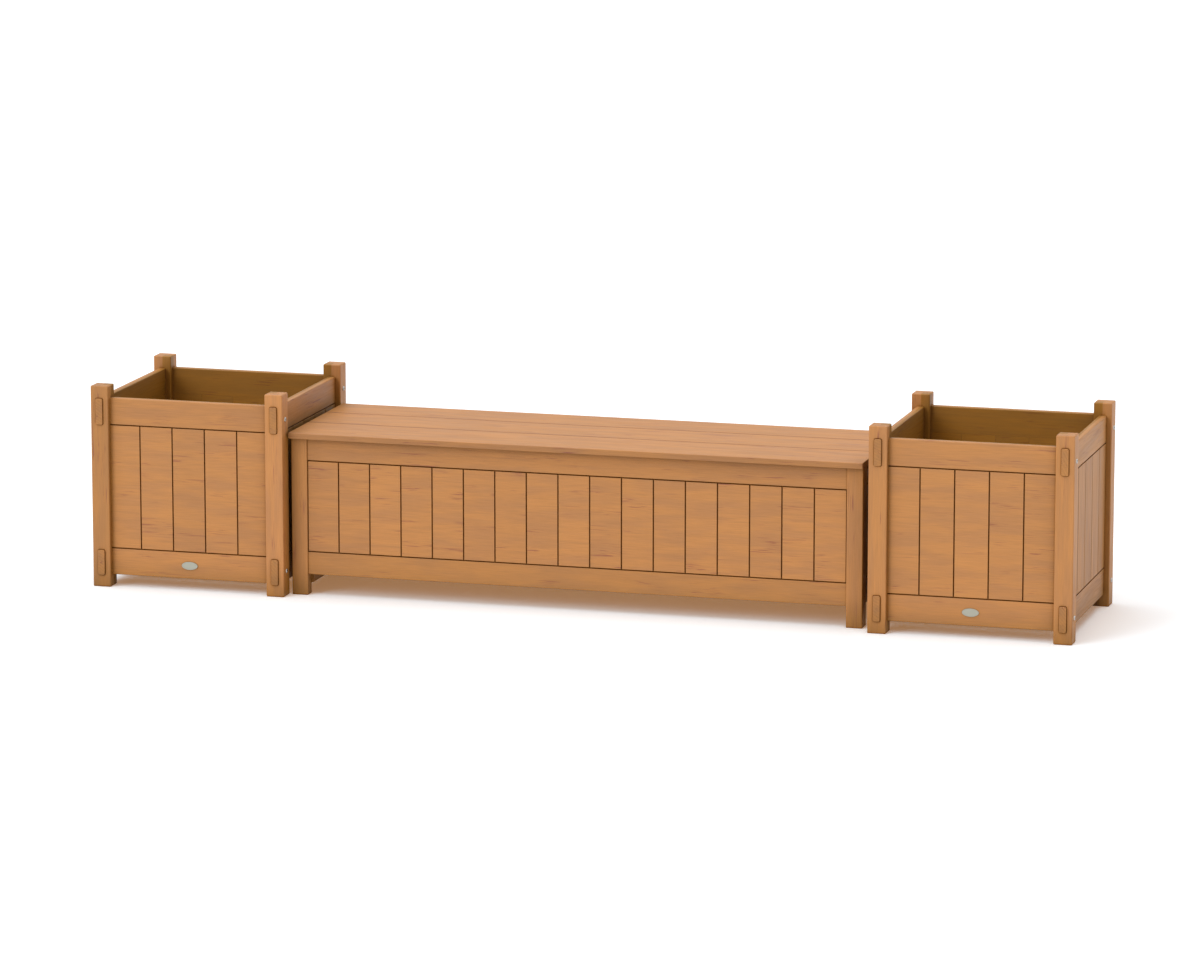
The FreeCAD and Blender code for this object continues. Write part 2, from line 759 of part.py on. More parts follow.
def make_bench_rails():
    """The front, back and end rails of the bench."""
    height = size.bench_top_rail_height
    leaf_bed = (height - size.hinge_leaf_thickness - size.fit_clearance, height + CUT_THROUGH)
    for name, side_y, turn in FACES:
        top = bench_rail(
            f"bench_{name}_top_rail", bench_rail_length, size.bench_top_rail_height, False
        )
        if name == "back":
            for hinge_x in hinge_places:
                leaf = size.hinge_leaf_length / 2 + size.fit_clearance
                leaf_span = (hinge_x - leaf, hinge_x + leaf)
                top.cut_box(leaf_span, both_ways(half_panel + CUT_THROUGH), leaf_bed)
                for screw_x in row_of(3, size.hinge_screw_spacing):
                    top.cut_hole(
                        "y",
                        (hinge_x + screw_x, hinge_z - size.hinge_screw_offset - bench_top_rail_base),
                        screw_hole_radius,
                        (-half_panel - CUT_THROUGH, size.hinge_screw_length - half_panel),
                    )
        top.put(bench_x, bench_y + side_y * bench_rail_y, bench_top_rail_base, turn)
        bottom = bench_rail(
            f"bench_{name}_bottom_rail", bench_rail_length, size.bench_bottom_rail_height, True
        )
        bottom.put(bench_x, bench_y + side_y * bench_rail_y, size.bench_bottom_rail_base, turn)
    ends = (
        ("top", bench_top_rail_base, size.bench_top_rail_height, False),
        ("bottom", size.bench_bottom_rail_base, size.bench_bottom_rail_height, True),
    )
    for name, base, height, groove_on_top in ends:
        rail = bench_rail(f"bench_end_{name}_rail_piece", bench_end_rail_length, height, groove_on_top)
        copies = [
            (rail.body, -bench_end_rail_x, 0, 0, FACE_LEFT),
            (rail.body, bench_end_rail_x, 0, 0, FACE_RIGHT),
        ]
        group(f"bench_end_{name}_rails", copies, bench_x, bench_y, base)


def make_bench_boards():
    """The boards of the bench's front, back and ends."""
    count = whole(size.bench_board_count)
    pitch = (bench_rail_length - size.board_joint_gap) / size.bench_board_count
    board = make_board("bench_board_piece", pitch, bench_panel_height)
    for name, side_y, turn in FACES:
        y = side_y * bench_rail_y
        copies = [(board, across, y, 0, turn) for across in row_of(count, pitch)]
        group(f"bench_{name}_boards", copies, bench_x, bench_y, bench_bottom_rail_top)
    end_count = whole(size.bench_end_board_count)
    end_pitch = (bench_end_rail_length - size.board_joint_gap) / size.bench_end_board_count
    end_board = make_board("bench_end_board_piece", end_pitch, bench_panel_height)
    copies = []
    for side_x, turn in ((-1, FACE_LEFT), (1, FACE_RIGHT)):
        for along in row_of(end_count, end_pitch):
            copies.append((end_board, side_x * bench_end_rail_x, along, 0, turn))
    group("bench_end_boards", copies, bench_x, bench_y, bench_bottom_rail_top)


def make_bench_floor():
    """End bearers, long ledgers and the floor boards that lie on them."""
    bearer = Piece("bench_end_bearer_piece")
    bearer_half = size.end_bearer_thickness / 2
    reach = size.bench_depth / 2 - size.leg_size + size.leg_rebate_depth - size.end_clearance
    height = size.ledger_top - size.end_bearer_base
    bearer.prism("XZ_Plane", rectangle(both_ways(bearer_half), (0, height)), 2 * reach)
    bearer.round_off(size.end_bearer_edge_radius, z=(0, 0))
    copies = [(bearer.body, side * end_bearer_x, 0, 0, AS_MADE) for side in (-1, 1)]
    group("bench_end_bearers", copies, bench_x, bench_y, size.end_bearer_base)
    ledger = Piece("bench_floor_ledger_piece")
    ledger.prism(
        "YZ_Plane",
        rectangle(both_ways(half_panel), (0, size.ledger_height)),
        2 * (end_bearer_x - bearer_half - size.end_clearance),
    )
    ledger.round_off(size.board_edge_radius)
    ledger_y = inside_face_y - half_panel
    copies = [(ledger.body, 0, side * ledger_y, 0, AS_MADE) for side in (-1, 1)]
    group("bench_floor_ledgers", copies, bench_x, bench_y, size.ledger_top - size.ledger_height)
    pitch = (bench_rail_length - 2 * size.floor_side_gap) / size.floor_board_count
    board = Piece("bench_floor_board_piece")
    board.prism(
        "XZ_Plane",
        rectangle(both_ways((pitch - size.floor_board_gap) / 2), (0, size.floor_board_thickness)),
        2 * (inside_face_y - size.floor_side_gap),
    )
    board.round_off(size.board_edge_radius)
    count = whole(size.floor_board_count)
    copies = [(board.body, across, 0, 0, AS_MADE) for across in row_of(count, pitch)]
    group("bench_floor_boards", copies, bench_x, bench_y, size.ledger_top)


def lid_layout():
    """Name, width and centre of each lid board, from the front to the back."""
    front_edge = -size.bench_depth / 2 - size.lid_front_overhang
    widths = (
        ("front", size.lid_front_board_width),
        ("middle", size.lid_middle_board_width),
        ("back", size.lid_back_board_width),
    )
    boards = []
    for name, width in widths:
        boards.append((name, width, front_edge + width / 2))
        front_edge = front_edge + width
    return boards


def batten_places():
    """Where the lid battens lie along the bench."""
    outer = size.bench_length / 2 - size.lid_batten_inset
    return [-outer, as_size(0), outer]


def make_lid():
    """Three lid boards and the battens that join them from beneath."""
    length = size.bench_length + 2 * size.lid_end_overhang
    for name, width, centre in lid_layout():
        board = Piece(f"lid_{name}_board")
        half_width = (width - size.lid_board_gap) / 2
        board.prism("YZ_Plane", rectangle(both_ways(half_width), (0, size.lid_thickness)), length)
        top = (size.lid_thickness, size.lid_thickness)
        for side in (-1, 1):
            edge = side * half_width
            outside = (name, side) in (("front", -1), ("back", 1))
            radius = size.lid_edge_radius if outside else size.lid_groove_radius
            board.round_off(radius, along="x", y=(edge, edge), z=top)
        for end in both_ways(length / 2):
            board.round_off(size.lid_end_radius, x=(end, end))
        for batten_x in batten_places():
            for spread in row_of(2, size.batten_screw_spread):
                depth = size.batten_screw_length - size.lid_batten_thickness
                hole = (-CUT_THROUGH, depth)
                board.cut_hole("z", (batten_x + spread, 0), screw_hole_radius, hole)
        if name == "back":
            for hinge_x in hinge_places:
                for screw_x in row_of(3, size.hinge_screw_spacing):
                    across = hinge_y - size.hinge_screw_offset - centre
                    hole = (-CUT_THROUGH, size.hinge_screw_length - size.hinge_leaf_thickness)
                    board.cut_hole("z", (hinge_x + screw_x, across), screw_hole_radius, hole)
        board.put(bench_x, bench_y + centre, lid_underside)
    batten = Piece("lid_batten_piece")
    batten_front = -inside_face_y + size.lid_batten_end_gap
    batten_back = inside_face_y - size.lid_batten_end_gap
    batten.prism(
        "XZ_Plane",
        rectangle(both_ways(size.lid_batten_width / 2), (-size.lid_batten_thickness, 0)),
        batten_back - batten_front,
    )
    under = -size.lid_batten_thickness
    batten.round_off(size.free_edge_radius, z=(under, under))
    head_radius = size.screw_head_diameter / 2 + size.hardware_clearance
    sink = (under - CUT_THROUGH, under + size.screw_head_height)
    for name, width, centre in lid_layout():
        for spread in row_of(2, size.batten_screw_spread):
            spot = (spread, centre)
            batten.cut_hole("z", spot, screw_hole_radius, (under - CUT_THROUGH, CUT_THROUGH))
            batten.cut_hole("z", spot, head_radius, sink)
    copies = [(batten.body, batten_x, 0, 0, AS_MADE) for batten_x in batten_places()]
    group("lid_battens", copies, bench_x, bench_y, lid_underside)


def make_screw(label, length):
    """A countersunk wood screw that points down, with its head's top at zero."""
    screw = Piece(label)
    head = size.screw_head_height
    screw.cone("Additive", "z", (0, 0), (screw_radius, size.screw_head_diameter / 2), (-head, 0))
    screw.add_rod("z", (0, 0), screw_radius, (-length, -head / 2))
    long_span = both_ways(size.screw_recess_span / 2)
    short_span = both_ways(size.screw_recess_width / 2)
    recess = (-size.screw_recess_depth, CUT_THROUGH)
    screw.cut_box(long_span, short_span, recess)
    screw.cut_box(short_span, long_span, recess)
    return screw.body


def make_hinge_leaf(label, on_lid):
    """One hinge leaf; the pin's line is its X axis."""
    leaf = Piece(label)
    reach = size.hinge_knuckle_radius + size.hinge_running_gap
    half_length = both_ways(size.hinge_leaf_length / 2)
    if on_lid:
        plate = (reach - size.hinge_leaf_thickness, reach)
        leaf.add_box(half_length, (-size.hinge_leaf_width, 0), plate)
    else:
        plate = (-reach, -reach + size.hinge_leaf_thickness)
        leaf.add_box(half_length, plate, (-size.hinge_leaf_width, 0))
    own = (1, 3) if on_lid else (0, 2, 4)
    half_gap = size.hinge_knuckle_gap / 2
    for number in range(5):
        if number not in own:
            start = -size.hinge_leaf_length / 2 + number * knuckle_length
            span = (start - half_gap, start + knuckle_length + half_gap)
            leaf.cut_hole("x", (0, 0), reach, span)
    for number in own:
        start = -size.hinge_leaf_length / 2 + number * knuckle_length
        span = (start + half_gap, start + knuckle_length - half_gap)
        leaf.add_rod("x", (0, 0), size.hinge_knuckle_radius, span)
    bore = size.hinge_pin_radius + size.hinge_pin_clearance
    leaf.cut_hole("x", (0, 0), bore, both_ways(size.hinge_leaf_length / 2 + CUT_THROUGH))
    shank = screw_hole_radius
    head = size.screw_head_diameter / 2 + size.hardware_clearance
    for screw_x in row_of(3, size.hinge_screw_spacing):
        if on_lid:
            centre = (screw_x, -size.hinge_screw_offset)
            under = reach - size.hinge_leaf_thickness
            leaf.cut_hole("z", centre, shank, (under - CUT_THROUGH, reach + CUT_THROUGH))
            sink = (under, under + size.screw_head_height)
            leaf.cone("Subtractive", "z", centre, (head, shank), sink)
        else:
            centre = (screw_x, -size.hinge_screw_offset)
            face = -reach + size.hinge_leaf_thickness
            leaf.cut_hole("y", centre, shank, (-reach - CUT_THROUGH, face + CUT_THROUGH))
            sink = (face - size.screw_head_height, face)
            leaf.cone("Subtractive", "y", centre, (shank, head), sink)
    return leaf.body


def make_hinges():
    """Three butt hinges behind the lid, with their pins and screws."""
    box_leaf = make_hinge_leaf("hinge_box_leaf_piece", on_lid=False)
    lid_leaf = make_hinge_leaf("hinge_lid_leaf_piece", on_lid=True)
    pin = Piece("hinge_pin_piece")
    half_length = size.hinge_leaf_length / 2
    pin.add_rod("x", (0, 0), size.hinge_pin_radius, both_ways(half_length + size.hinge_pin_head_height))
    for side in (-1, 1):
        span = mirrored((half_length, half_length + size.hinge_pin_head_height), side)
        pin.add_rod("x", (0, 0), size.hinge_pin_head_radius, span)
    nodes_to_make = (
        ("hinge_box_leaves", box_leaf),
        ("hinge_lid_leaves", lid_leaf),
        ("hinge_pins", pin.body),
    )
    for label, piece in nodes_to_make:
        copies = [(piece, hinge_x, 0, 0, AS_MADE) for hinge_x in hinge_places]
        group(label, copies, bench_x, bench_y + hinge_y, hinge_z)
    short_screw = make_screw("hinge_screw_piece", size.hinge_screw_length)
    face = hinge_offset - size.hinge_leaf_thickness
    box_copies = []
    lid_copies = []
    for hinge_x in hinge_places:
        for screw_x in row_of(3, size.hinge_screw_spacing):
            spot = hinge_x + screw_x
            box_copies.append((short_screw, spot, -face, -size.hinge_screw_offset, POINT_FORWARD))
            lid_copies.append((short_screw, spot, -size.hinge_screw_offset, face, POINT_UP))
    group("hinge_box_screws", box_copies, bench_x, bench_y + hinge_y, hinge_z)
    group("hinge_lid_screws", lid_copies, bench_x, bench_y + hinge_y, hinge_z)
    long_screw = make_screw("lid_batten_screw_piece", size.batten_screw_length)
    copies = []
    for batten_x in batten_places():
        for name, width, centre in lid_layout():
            for spread in row_of(2, size.batten_screw_spread):
                spot = batten_x + spread
                copies.append((long_screw, spot, centre, -size.lid_batten_thickness, POINT_UP))
    group("lid_batten_screws", copies, bench_x, bench_y, lid_underside)


def make_bench():
    """The storage bench between the planters."""
    for name, hand, side_x, side_y, turn in CORNERS:
        make_leg(f"bench_leg_{name}", hand, side_x, side_y, turn)
    make_bench_rails()
    make_bench_boards()
    make_bench_floor()
    make_lid()
    make_hinges()


def check_and_write():
    """Stop at any failed object, then write one file for each node."""
    DOCUMENT.recompute()
    for item in DOCUMENT.Objects:
        if "Invalid" in item.State or "Error" in item.State:
            raise RuntimeError(f"{item.Label} failed: {item.State}")
    os.makedirs("parts", exist_ok=True)
    for node in nodes:
        shape = node.Shape
        if shape.isNull() or not shape.isValid() or not shape.Solids:
            raise RuntimeError(f"{node.Label} has no valid solid")
        shape.exportStep(f"parts/{node.Label}.step")
    print(len(nodes), "nodes,", sum(len(node.Shape.Solids) for node in nodes), "solids")


planter_pieces = make_planter_pieces()
make_planter("left_planter", left_planter_x, planter_pieces)
make_planter("right_planter", right_planter_x, planter_pieces)
make_frame_bolts()
make_oval_plates()
make_bench()
check_and_write()
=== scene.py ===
"""A stained softwood storage bench between two planters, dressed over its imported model."""

import logging
import math
from dataclasses import dataclass, field
from enum import Enum

import bmesh
import bpy
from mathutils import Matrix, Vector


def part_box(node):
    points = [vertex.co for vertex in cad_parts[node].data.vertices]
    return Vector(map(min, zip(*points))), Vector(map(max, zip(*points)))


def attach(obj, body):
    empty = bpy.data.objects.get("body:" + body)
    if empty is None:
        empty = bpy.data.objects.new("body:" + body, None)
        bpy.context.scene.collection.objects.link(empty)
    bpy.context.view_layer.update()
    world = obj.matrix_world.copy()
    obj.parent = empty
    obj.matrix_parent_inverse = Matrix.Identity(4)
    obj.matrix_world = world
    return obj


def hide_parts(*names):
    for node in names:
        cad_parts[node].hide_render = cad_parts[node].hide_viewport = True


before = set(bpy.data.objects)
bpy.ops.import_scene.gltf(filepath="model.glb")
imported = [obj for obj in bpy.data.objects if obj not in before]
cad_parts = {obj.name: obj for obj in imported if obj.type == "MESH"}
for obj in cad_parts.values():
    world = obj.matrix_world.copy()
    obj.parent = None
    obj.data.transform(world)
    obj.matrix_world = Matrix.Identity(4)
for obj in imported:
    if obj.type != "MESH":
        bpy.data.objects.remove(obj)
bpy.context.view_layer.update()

LOG = logging.getLogger("bench_with_planters")
MM = 0.001
BODY = "bench_and_planters"

# node settings that recur: a soft ramp, a mix of two colours, and one that multiplies them
SMOOTH = {"interpolation_type": "SMOOTHSTEP"}
COLOURS = {"data_type": "RGBA"}
MULTIPLIED = {**COLOURS, "blend_type": "MULTIPLY"}

# a colour mix's sockets go by number, because its sockets for plain values have the same names
FIRST, SECOND, MIXED = 6, 7, 2

# how many rays feel for walls nearby, and how often a ring wave repeats for each unit of scale
FEELERS = {"samples": 8}
RING_TURNS = 20 / math.tau

# how far apart the units' grain patterns begin, so that no two timbers share one
PLANTER_SEEDS = 40.0
BENCH_SEED = 100.0

Colour = tuple[float, float, float, float]
Socket = bpy.types.NodeSocket
Point = tuple[float, float, float]


class Axis(Enum):
    """A direction of the object's own frame, as an index into a point."""

    X = 0
    Y = 1
    Z = 2


class Shade(Enum):
    """How much darker or lighter a timber is; on planter side timbers, painted shade."""

    PALE = 1.07
    USUAL = 1.0
    DEEP = 0.9
    ROUGH = 0.86


# the posts of each planter that took the stain differently
PLANTERS = {
    "left_planter": {"post_front_left": Shade.DEEP, "post_front_right": Shade.PALE},
    "right_planter": {},
}


def linear(code: str) -> Colour:
    """Turn an sRGB hex colour into a linear one.

    Args:
        code: Six hex digits after a hash sign.

    Returns:
        Red, green, blue and an alpha of one.
    """
    parts = [int(code[start:start + 2], 16) / 255 for start in (1, 3, 5)]
    bent = [c / 12.92 if c <= 0.04045 else ((c + 0.055) / 1.055) ** 2.4 for c in parts]
    return (bent[0], bent[1], bent[2], 1.0)


def add_node(tree: bpy.types.NodeTree, kind: str, settings: dict | None = None,
             links: dict | None = None) -> bpy.types.Node:
    """Add a node with its settings and the values or links of its inputs.

    Args:
        tree: The node tree that gets the node.
        kind: The node's type name.
        settings: Properties of the node by name.
        links: A value or an output socket for each input, by name or number.

    Returns:
        The new node.
    """
    node = tree.nodes.new(kind)
    for name, value in (settings or {}).items():
        setattr(node, name, value)
    for name, value in (links or {}).items():
        target = node.inputs[name]
        if isinstance(value, bpy.types.NodeSocket):
            tree.links.new(value, target)
        else:
            target.default_value = value
    return node


def fresh_material(name: str) -> bpy.types.Material:
    """Make a material with an empty node tree.

    Args:
        name: The material's name.

    Returns:
        The material.
    """
    material = bpy.data.materials.new(name)
    material.use_nodes = True
    material.node_tree.nodes.clear()
    return material


def dress(node: str, material: bpy.types.Material) -> None:
    """Give a CAD node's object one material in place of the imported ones.

    Args:
        node: The CAD node.
        material: The material that it gets.
    """
    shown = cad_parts[node]
    shown.data.materials.clear()
    shown.data.materials.append(material)
    LOG.info("dressed %s with %s", node, material.name)


@dataclass(frozen=True)
class Span:
    """How a value between two limits is turned into another one.

    Args:
        low: The value from which it counts.
        high: The value up to which it counts.
        least: What the low value gives.
        most: What the high value gives.
    """

    low: float = 0.0
    high: float = 1.0
    least: float = 0.0
    most: float = 1.0

    def of(self, value: Socket) -> dict:
        """The links of a ramp that turns a value by this span."""
        return {"Value": value, "From Min": self.low, "From Max": self.high,
                "To Min": self.least, "To Max": self.most}


@dataclass(frozen=True)
class Layer:
    """An irregular pattern of the wood, whose value is about 0.5 on average.

    Args:
        along: Its real size along the grain, in millimetres.
        across: Its real size across the grain, in millimetres.
        detail: How many finer levels it has.
        warp: How far it is bent.
        span: How much of it shows.
    """

    along: float
    across: float
    detail: float
    warp: float
    span: Span


@dataclass(frozen=True)
class PaintedShade:
    """Painted shade between walls, where ambient occlusion darkens the colour.

    Args:
        reach: How near the walls are, in millimetres.
        tint: What the stain's colour is multiplied by.
        span: How much of that each share of open air gets.
    """

    reach: float
    tint: str
    span: Span


@dataclass(frozen=True)
class BoardRow:
    """A row of equal pieces along one axis, each with a grain pattern of its own.

    Args:
        axis: The direction in which the pieces follow each other.
        start: Where the first piece begins, in metres.
        pitch: The distance from one piece to the next, in metres.
    """

    axis: Axis
    start: float
    pitch: float


def row_of(node: str, axis: Axis, count: int) -> BoardRow:
    """Find the row in which a CAD node's pieces stand.

    Args:
        node: The CAD node.
        axis: The direction in which the pieces follow each other.
        count: How many pieces there are in that direction.

    Returns:
        The row, with its pitch worked out from the node's box.
    """
    low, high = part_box(node)
    return BoardRow(axis, low[axis.value], (high[axis.value] - low[axis.value]) / count)


@dataclass(frozen=True)
class Well:
    """The open inside of a planter, seen from above.

    Args:
        x: Its middle along X, in metres.
        y: Its middle along Y, in metres.
        reach: How far from its middle the faces around it end, in metres.
    """

    x: float
    y: float
    reach: float


@dataclass(frozen=True)
class StainedSoftwood:
    """Planed softwood under a brown translucent stain.

    The eye gets a warm matt surface with soft bands along the grain, fine streaks, and
    clusters of thin reddish flecks where resin and small knots took more stain.

    Args:
        name: The material's name.
        grain: The direction of the fibres.
        rows: The rows of pieces that the node holds; none for a node of one piece.
        seed: Moves the pattern, so that no two nodes look alike.
        shade: How dark the stain is; on planter side timbers, painted shade.
        well: The planter well whose faces get painted shade, if there is one.
        seams: Where edge joints along Y get a painted shade line, in metres.
        pale: The stain's colour over pale wood.
        dull: The stain's colour over dense wood.
        fleck: The stain's colour over resin.
        seam_shade: What the colour is multiplied by along an edge joint, as painted shade.
        well_shade: What it is multiplied by inside the planter well, as painted shade.
        corners: The painted shade in deep corners.
        gaps: The painted shade in joints and grooves.
        band: The growth bands of dense wood.
        streak: The fine dark streaks.
        cluster: The areas that have flecks.
        fleck_mark: The single flecks.
        fibre: The raised fibres.
        fineness: How strong each finer level of a layer is, beside the level before it.
        roughness: How the streaks change the stain's roughness.
        dusty: The roughness in narrow gaps, where dust lies.
        piece_tone: How much lighter or darker single pieces are.
        cut_faces: How squarely a face cuts the fibres where it shows end grain.
        ring_mm: The width of a growth ring, in millimetres.
        ring_warp: How far the rings are bent.
        ring_detail: How many finer levels that bend has.
        ring_fineness: How much finer each of them is.
        ring_tone: How much darker the end grain is between and on its rings.
        edge_shade: How much darker faces looking along Y are, as painted shade.
        seam_mm: How far the painted shade line reaches from a joint, in millimetres.
        seam_core: The share of that distance over which it is deepest.
        relief_mm: The height of the raised fibres, in millimetres.
        relief: How strongly they show.
        jump: How far the pattern may move from piece to piece, in metres.
        ior: The index of refraction of a water-based stain over bare wood.
    """

    name: str
    grain: Axis
    rows: tuple[BoardRow, ...] = ()
    seed: float = 0.0
    shade: Shade = Shade.USUAL
    well: Well | None = None
    seams: tuple[float, ...] = ()

    pale: str = "#C68749"
    dull: str = "#B57D4B"
    fleck: str = "#98593E"
    # painted shade along the lid's edge joints
    seam_shade: str = "#D8D2CC"
    # painted shade on the faces of the planter well
    well_shade: str = "#DBD870"
    # painted shade: ambient occlusion darkens corners softly, joints and grooves more
    corners: PaintedShade = PaintedShade(90.0, "#C4C070", Span(0.4, 0.95, 1.0, 0.0))
    gaps: PaintedShade = PaintedShade(8.0, "#F0D818", Span(0.1, 0.92, 1.0, 0.0))

    band: Layer = Layer(200.0, 32.0, 2.0, 0.2, Span(0.34, 0.7, most=0.8))
    streak: Layer = Layer(130.0, 5.0, 4.0, 0.5, Span(0.5, 0.75, most=0.6))
    cluster: Layer = Layer(120.0, 24.0, 1.0, 0.3, Span(0.55, 0.67))
    fleck_mark: Layer = Layer(75.0, 2.8, 2.5, 0.7, Span(0.52, 0.68, most=0.85))
    # real fibres are too fine to show, so they are drawn as coarse as the finest marks that do
    fibre: Layer = Layer(45.0, 1.6, 3.0, 0.0, Span(0.3, 0.7, 0.94, 1.05))
    fineness: float = 0.55

    roughness: Span = Span(0.3, 0.7, 0.49, 0.62)
    dusty: float = 1.0
    piece_tone: Span = Span(least=0.95, most=1.04)
    cut_faces: Span = Span(0.75, 0.95)
    ring_mm: float = 7.0
    ring_warp: float = 3.0
    ring_detail: float = 2.0
    ring_fineness: float = 1.5
    ring_tone: Span = Span(least=0.86, most=0.96)
    # painted shade on the faces that look along Y, such as the lid's front edge
    edge_shade: Span = Span(0.6, 0.95, 1.0, 0.8)
    seam_mm: float = 7.0
    seam_core: float = 0.3
    relief_mm: float = 0.4
    relief: float = 0.12
    jump: float = 7.0
    ior: float = 1.5

    def own_place(self, tree: bpy.types.NodeTree) -> tuple[Socket, Socket]:
        """Find the point at which the grain is read, moved for each piece of a row.

        Args:
            tree: The material's node tree.

        Returns:
            The moved point, and a random value of the piece between zero and one.
        """
        place = add_node(tree, "ShaderNodeTexCoord").outputs["Object"]
        parts = add_node(tree, "ShaderNodeSeparateXYZ", None, {"Vector": place}).outputs
        numbers = {"Z": self.seed}
        for slot, row in zip("XY", self.rows):
            shift = add_node(tree, "ShaderNodeMath", {"operation": "SUBTRACT"},
                             {0: parts[row.axis.value], 1: row.start}).outputs[0]
            steps = add_node(tree, "ShaderNodeMath", {"operation": "DIVIDE"},
                             {0: shift, 1: row.pitch}).outputs[0]
            numbers[slot] = add_node(tree, "ShaderNodeMath", {"operation": "FLOOR"},
                                     {0: steps}).outputs[0]
        key = add_node(tree, "ShaderNodeCombineXYZ", None, numbers).outputs[0]
        chance = add_node(tree, "ShaderNodeTexWhiteNoise", {"noise_dimensions": "3D"},
                          {"Vector": key}).outputs
        leap = add_node(tree, "ShaderNodeVectorMath", {"operation": "SCALE"},
                        {0: chance["Color"], "Scale": self.jump}).outputs[0]
        moved = add_node(tree, "ShaderNodeVectorMath", {"operation": "ADD"},
                         {0: place, 1: leap}).outputs[0]
        return moved, chance["Value"]

    def pattern(self, tree: bpy.types.NodeTree, place: Socket, layer: Layer) -> Socket:
        """Draw a layer at its real size along and across the grain.

        Args:
            tree: The material's node tree.
            place: The point at which the grain is read.
            layer: The layer.

        Returns:
            The layer's value.
        """
        scale = [1 / (layer.across * MM)] * 3
        scale[self.grain.value] = 1 / (layer.along * MM)
        point = add_node(tree, "ShaderNodeVectorMath", {"operation": "MULTIPLY"},
                         {0: place, 1: scale}).outputs[0]
        return add_node(tree, "ShaderNodeTexNoise", None, {
            "Vector": point, "Scale": 1.0, "Detail": layer.detail, "Roughness": self.fineness,
            "Distortion": layer.warp,
        }).outputs["Fac"]

    def stain(self, tree: bpy.types.NodeTree, place: Socket, chance: Socket, streak: Socket,
              fibre: Socket) -> Socket:
        """Colour the wood by its bands, streaks, flecks and fibres.

        Args:
            tree: The material's node tree.
            place: The point at which the grain is read.
            chance: A random value of the piece.
            streak: The value of the streaks.
            fibre: The value of the fibres.

        Returns:
            The stained wood's colour.
        """
        pale, dull, fleck = (self.shaded(code) for code in (self.pale, self.dull, self.fleck))
        band = self.pattern(tree, place, self.band)
        dense = add_node(tree, "ShaderNodeMapRange", SMOOTH, self.band.span.of(band)).outputs[0]
        colour = add_node(tree, "ShaderNodeMix", COLOURS,
                          {0: dense, FIRST: pale, SECOND: dull}).outputs[MIXED]
        lines = add_node(tree, "ShaderNodeMapRange", SMOOTH,
                         self.streak.span.of(streak)).outputs[0]
        colour = add_node(tree, "ShaderNodeMix", COLOURS,
                          {0: lines, FIRST: colour, SECOND: dull}).outputs[MIXED]
        cluster = self.pattern(tree, place, self.cluster)
        where = add_node(tree, "ShaderNodeMapRange", SMOOTH,
                         self.cluster.span.of(cluster)).outputs[0]
        mark = self.pattern(tree, place, self.fleck_mark)
        thin = add_node(tree, "ShaderNodeMapRange", SMOOTH,
                        self.fleck_mark.span.of(mark)).outputs[0]
        share = add_node(tree, "ShaderNodeMath", {"operation": "MULTIPLY"},
                         {0: thin, 1: where}).outputs[0]
        colour = add_node(tree, "ShaderNodeMix", COLOURS,
                          {0: share, FIRST: colour, SECOND: fleck}).outputs[MIXED]
        fine = add_node(tree, "ShaderNodeMapRange", SMOOTH, self.fibre.span.of(fibre)).outputs[0]
        tone = add_node(tree, "ShaderNodeMapRange", None, self.piece_tone.of(chance)).outputs[0]
        level = add_node(tree, "ShaderNodeMath", {"operation": "MULTIPLY"},
                         {0: fine, 1: tone}).outputs[0]
        return add_node(tree, "ShaderNodeVectorMath", {"operation": "SCALE"},
                        {0: colour, "Scale": level}).outputs[0]

    def end_grain(self, tree: bpy.types.NodeTree, place: Socket, colour: Socket) -> Socket:
        """Draw growth rings on the faces that cut the fibres, which drink more stain.

        Args:
            tree: The material's node tree.
            place: The point at which the grain is read.
            colour: The colour along the grain.

        Returns:
            The colour with its end grain.
        """
        normal = add_node(tree, "ShaderNodeTexCoord").outputs["Normal"]
        parts = add_node(tree, "ShaderNodeSeparateXYZ", None, {"Vector": normal}).outputs
        facing = add_node(tree, "ShaderNodeMath", {"operation": "ABSOLUTE"},
                          {0: parts[self.grain.value]}).outputs[0]
        share = add_node(tree, "ShaderNodeMapRange", SMOOTH, self.cut_faces.of(facing)).outputs[0]
        rings = add_node(tree, "ShaderNodeTexWave", {
            "wave_type": "RINGS", "rings_direction": self.grain.name,
        }, {
            "Vector": place, "Scale": 1 / (self.ring_mm * MM * RING_TURNS),
            "Distortion": self.ring_warp, "Detail": self.ring_detail,
            "Detail Scale": self.ring_fineness,
        }).outputs["Fac"]
        level = add_node(tree, "ShaderNodeMapRange", None, self.ring_tone.of(rings)).outputs[0]
        cut = add_node(tree, "ShaderNodeVectorMath", {"operation": "SCALE"},
                       {0: colour, "Scale": level}).outputs[0]
        return add_node(tree, "ShaderNodeMix", COLOURS,
                        {0: share, FIRST: colour, SECOND: cut}).outputs[MIXED]

    def paint_well_shade(self, tree: bpy.types.NodeTree, colour: Socket) -> Socket:
        """Paint shade on the faces of the planter well, darkening its inside.

        Args:
            tree: The material's node tree.
            colour: The colour of the outer faces.

        Returns:
            The colour with its painted shade.
        """
        place = add_node(tree, "ShaderNodeTexCoord").outputs["Object"]
        parts = add_node(tree, "ShaderNodeSeparateXYZ", None, {"Vector": place}).outputs
        reach = []
        for axis, middle in ((Axis.X, self.well.x), (Axis.Y, self.well.y)):
            shift = add_node(tree, "ShaderNodeMath", {"operation": "SUBTRACT"},
                             {0: parts[axis.value], 1: middle}).outputs[0]
            reach.append(add_node(tree, "ShaderNodeMath", {"operation": "ABSOLUTE"},
                                  {0: shift}).outputs[0])
        far = add_node(tree, "ShaderNodeMath", {"operation": "MAXIMUM"},
                       {0: reach[0], 1: reach[1]}).outputs[0]
        inside = add_node(tree, "ShaderNodeMath", {"operation": "LESS_THAN"},
                          {0: far, 1: self.well.reach}).outputs[0]
        # the well's faces are darkened: painted shade
        return add_node(tree, "ShaderNodeMix", MULTIPLIED, {
            0: inside, FIRST: colour, SECOND: linear(self.well_shade)}).outputs[MIXED]

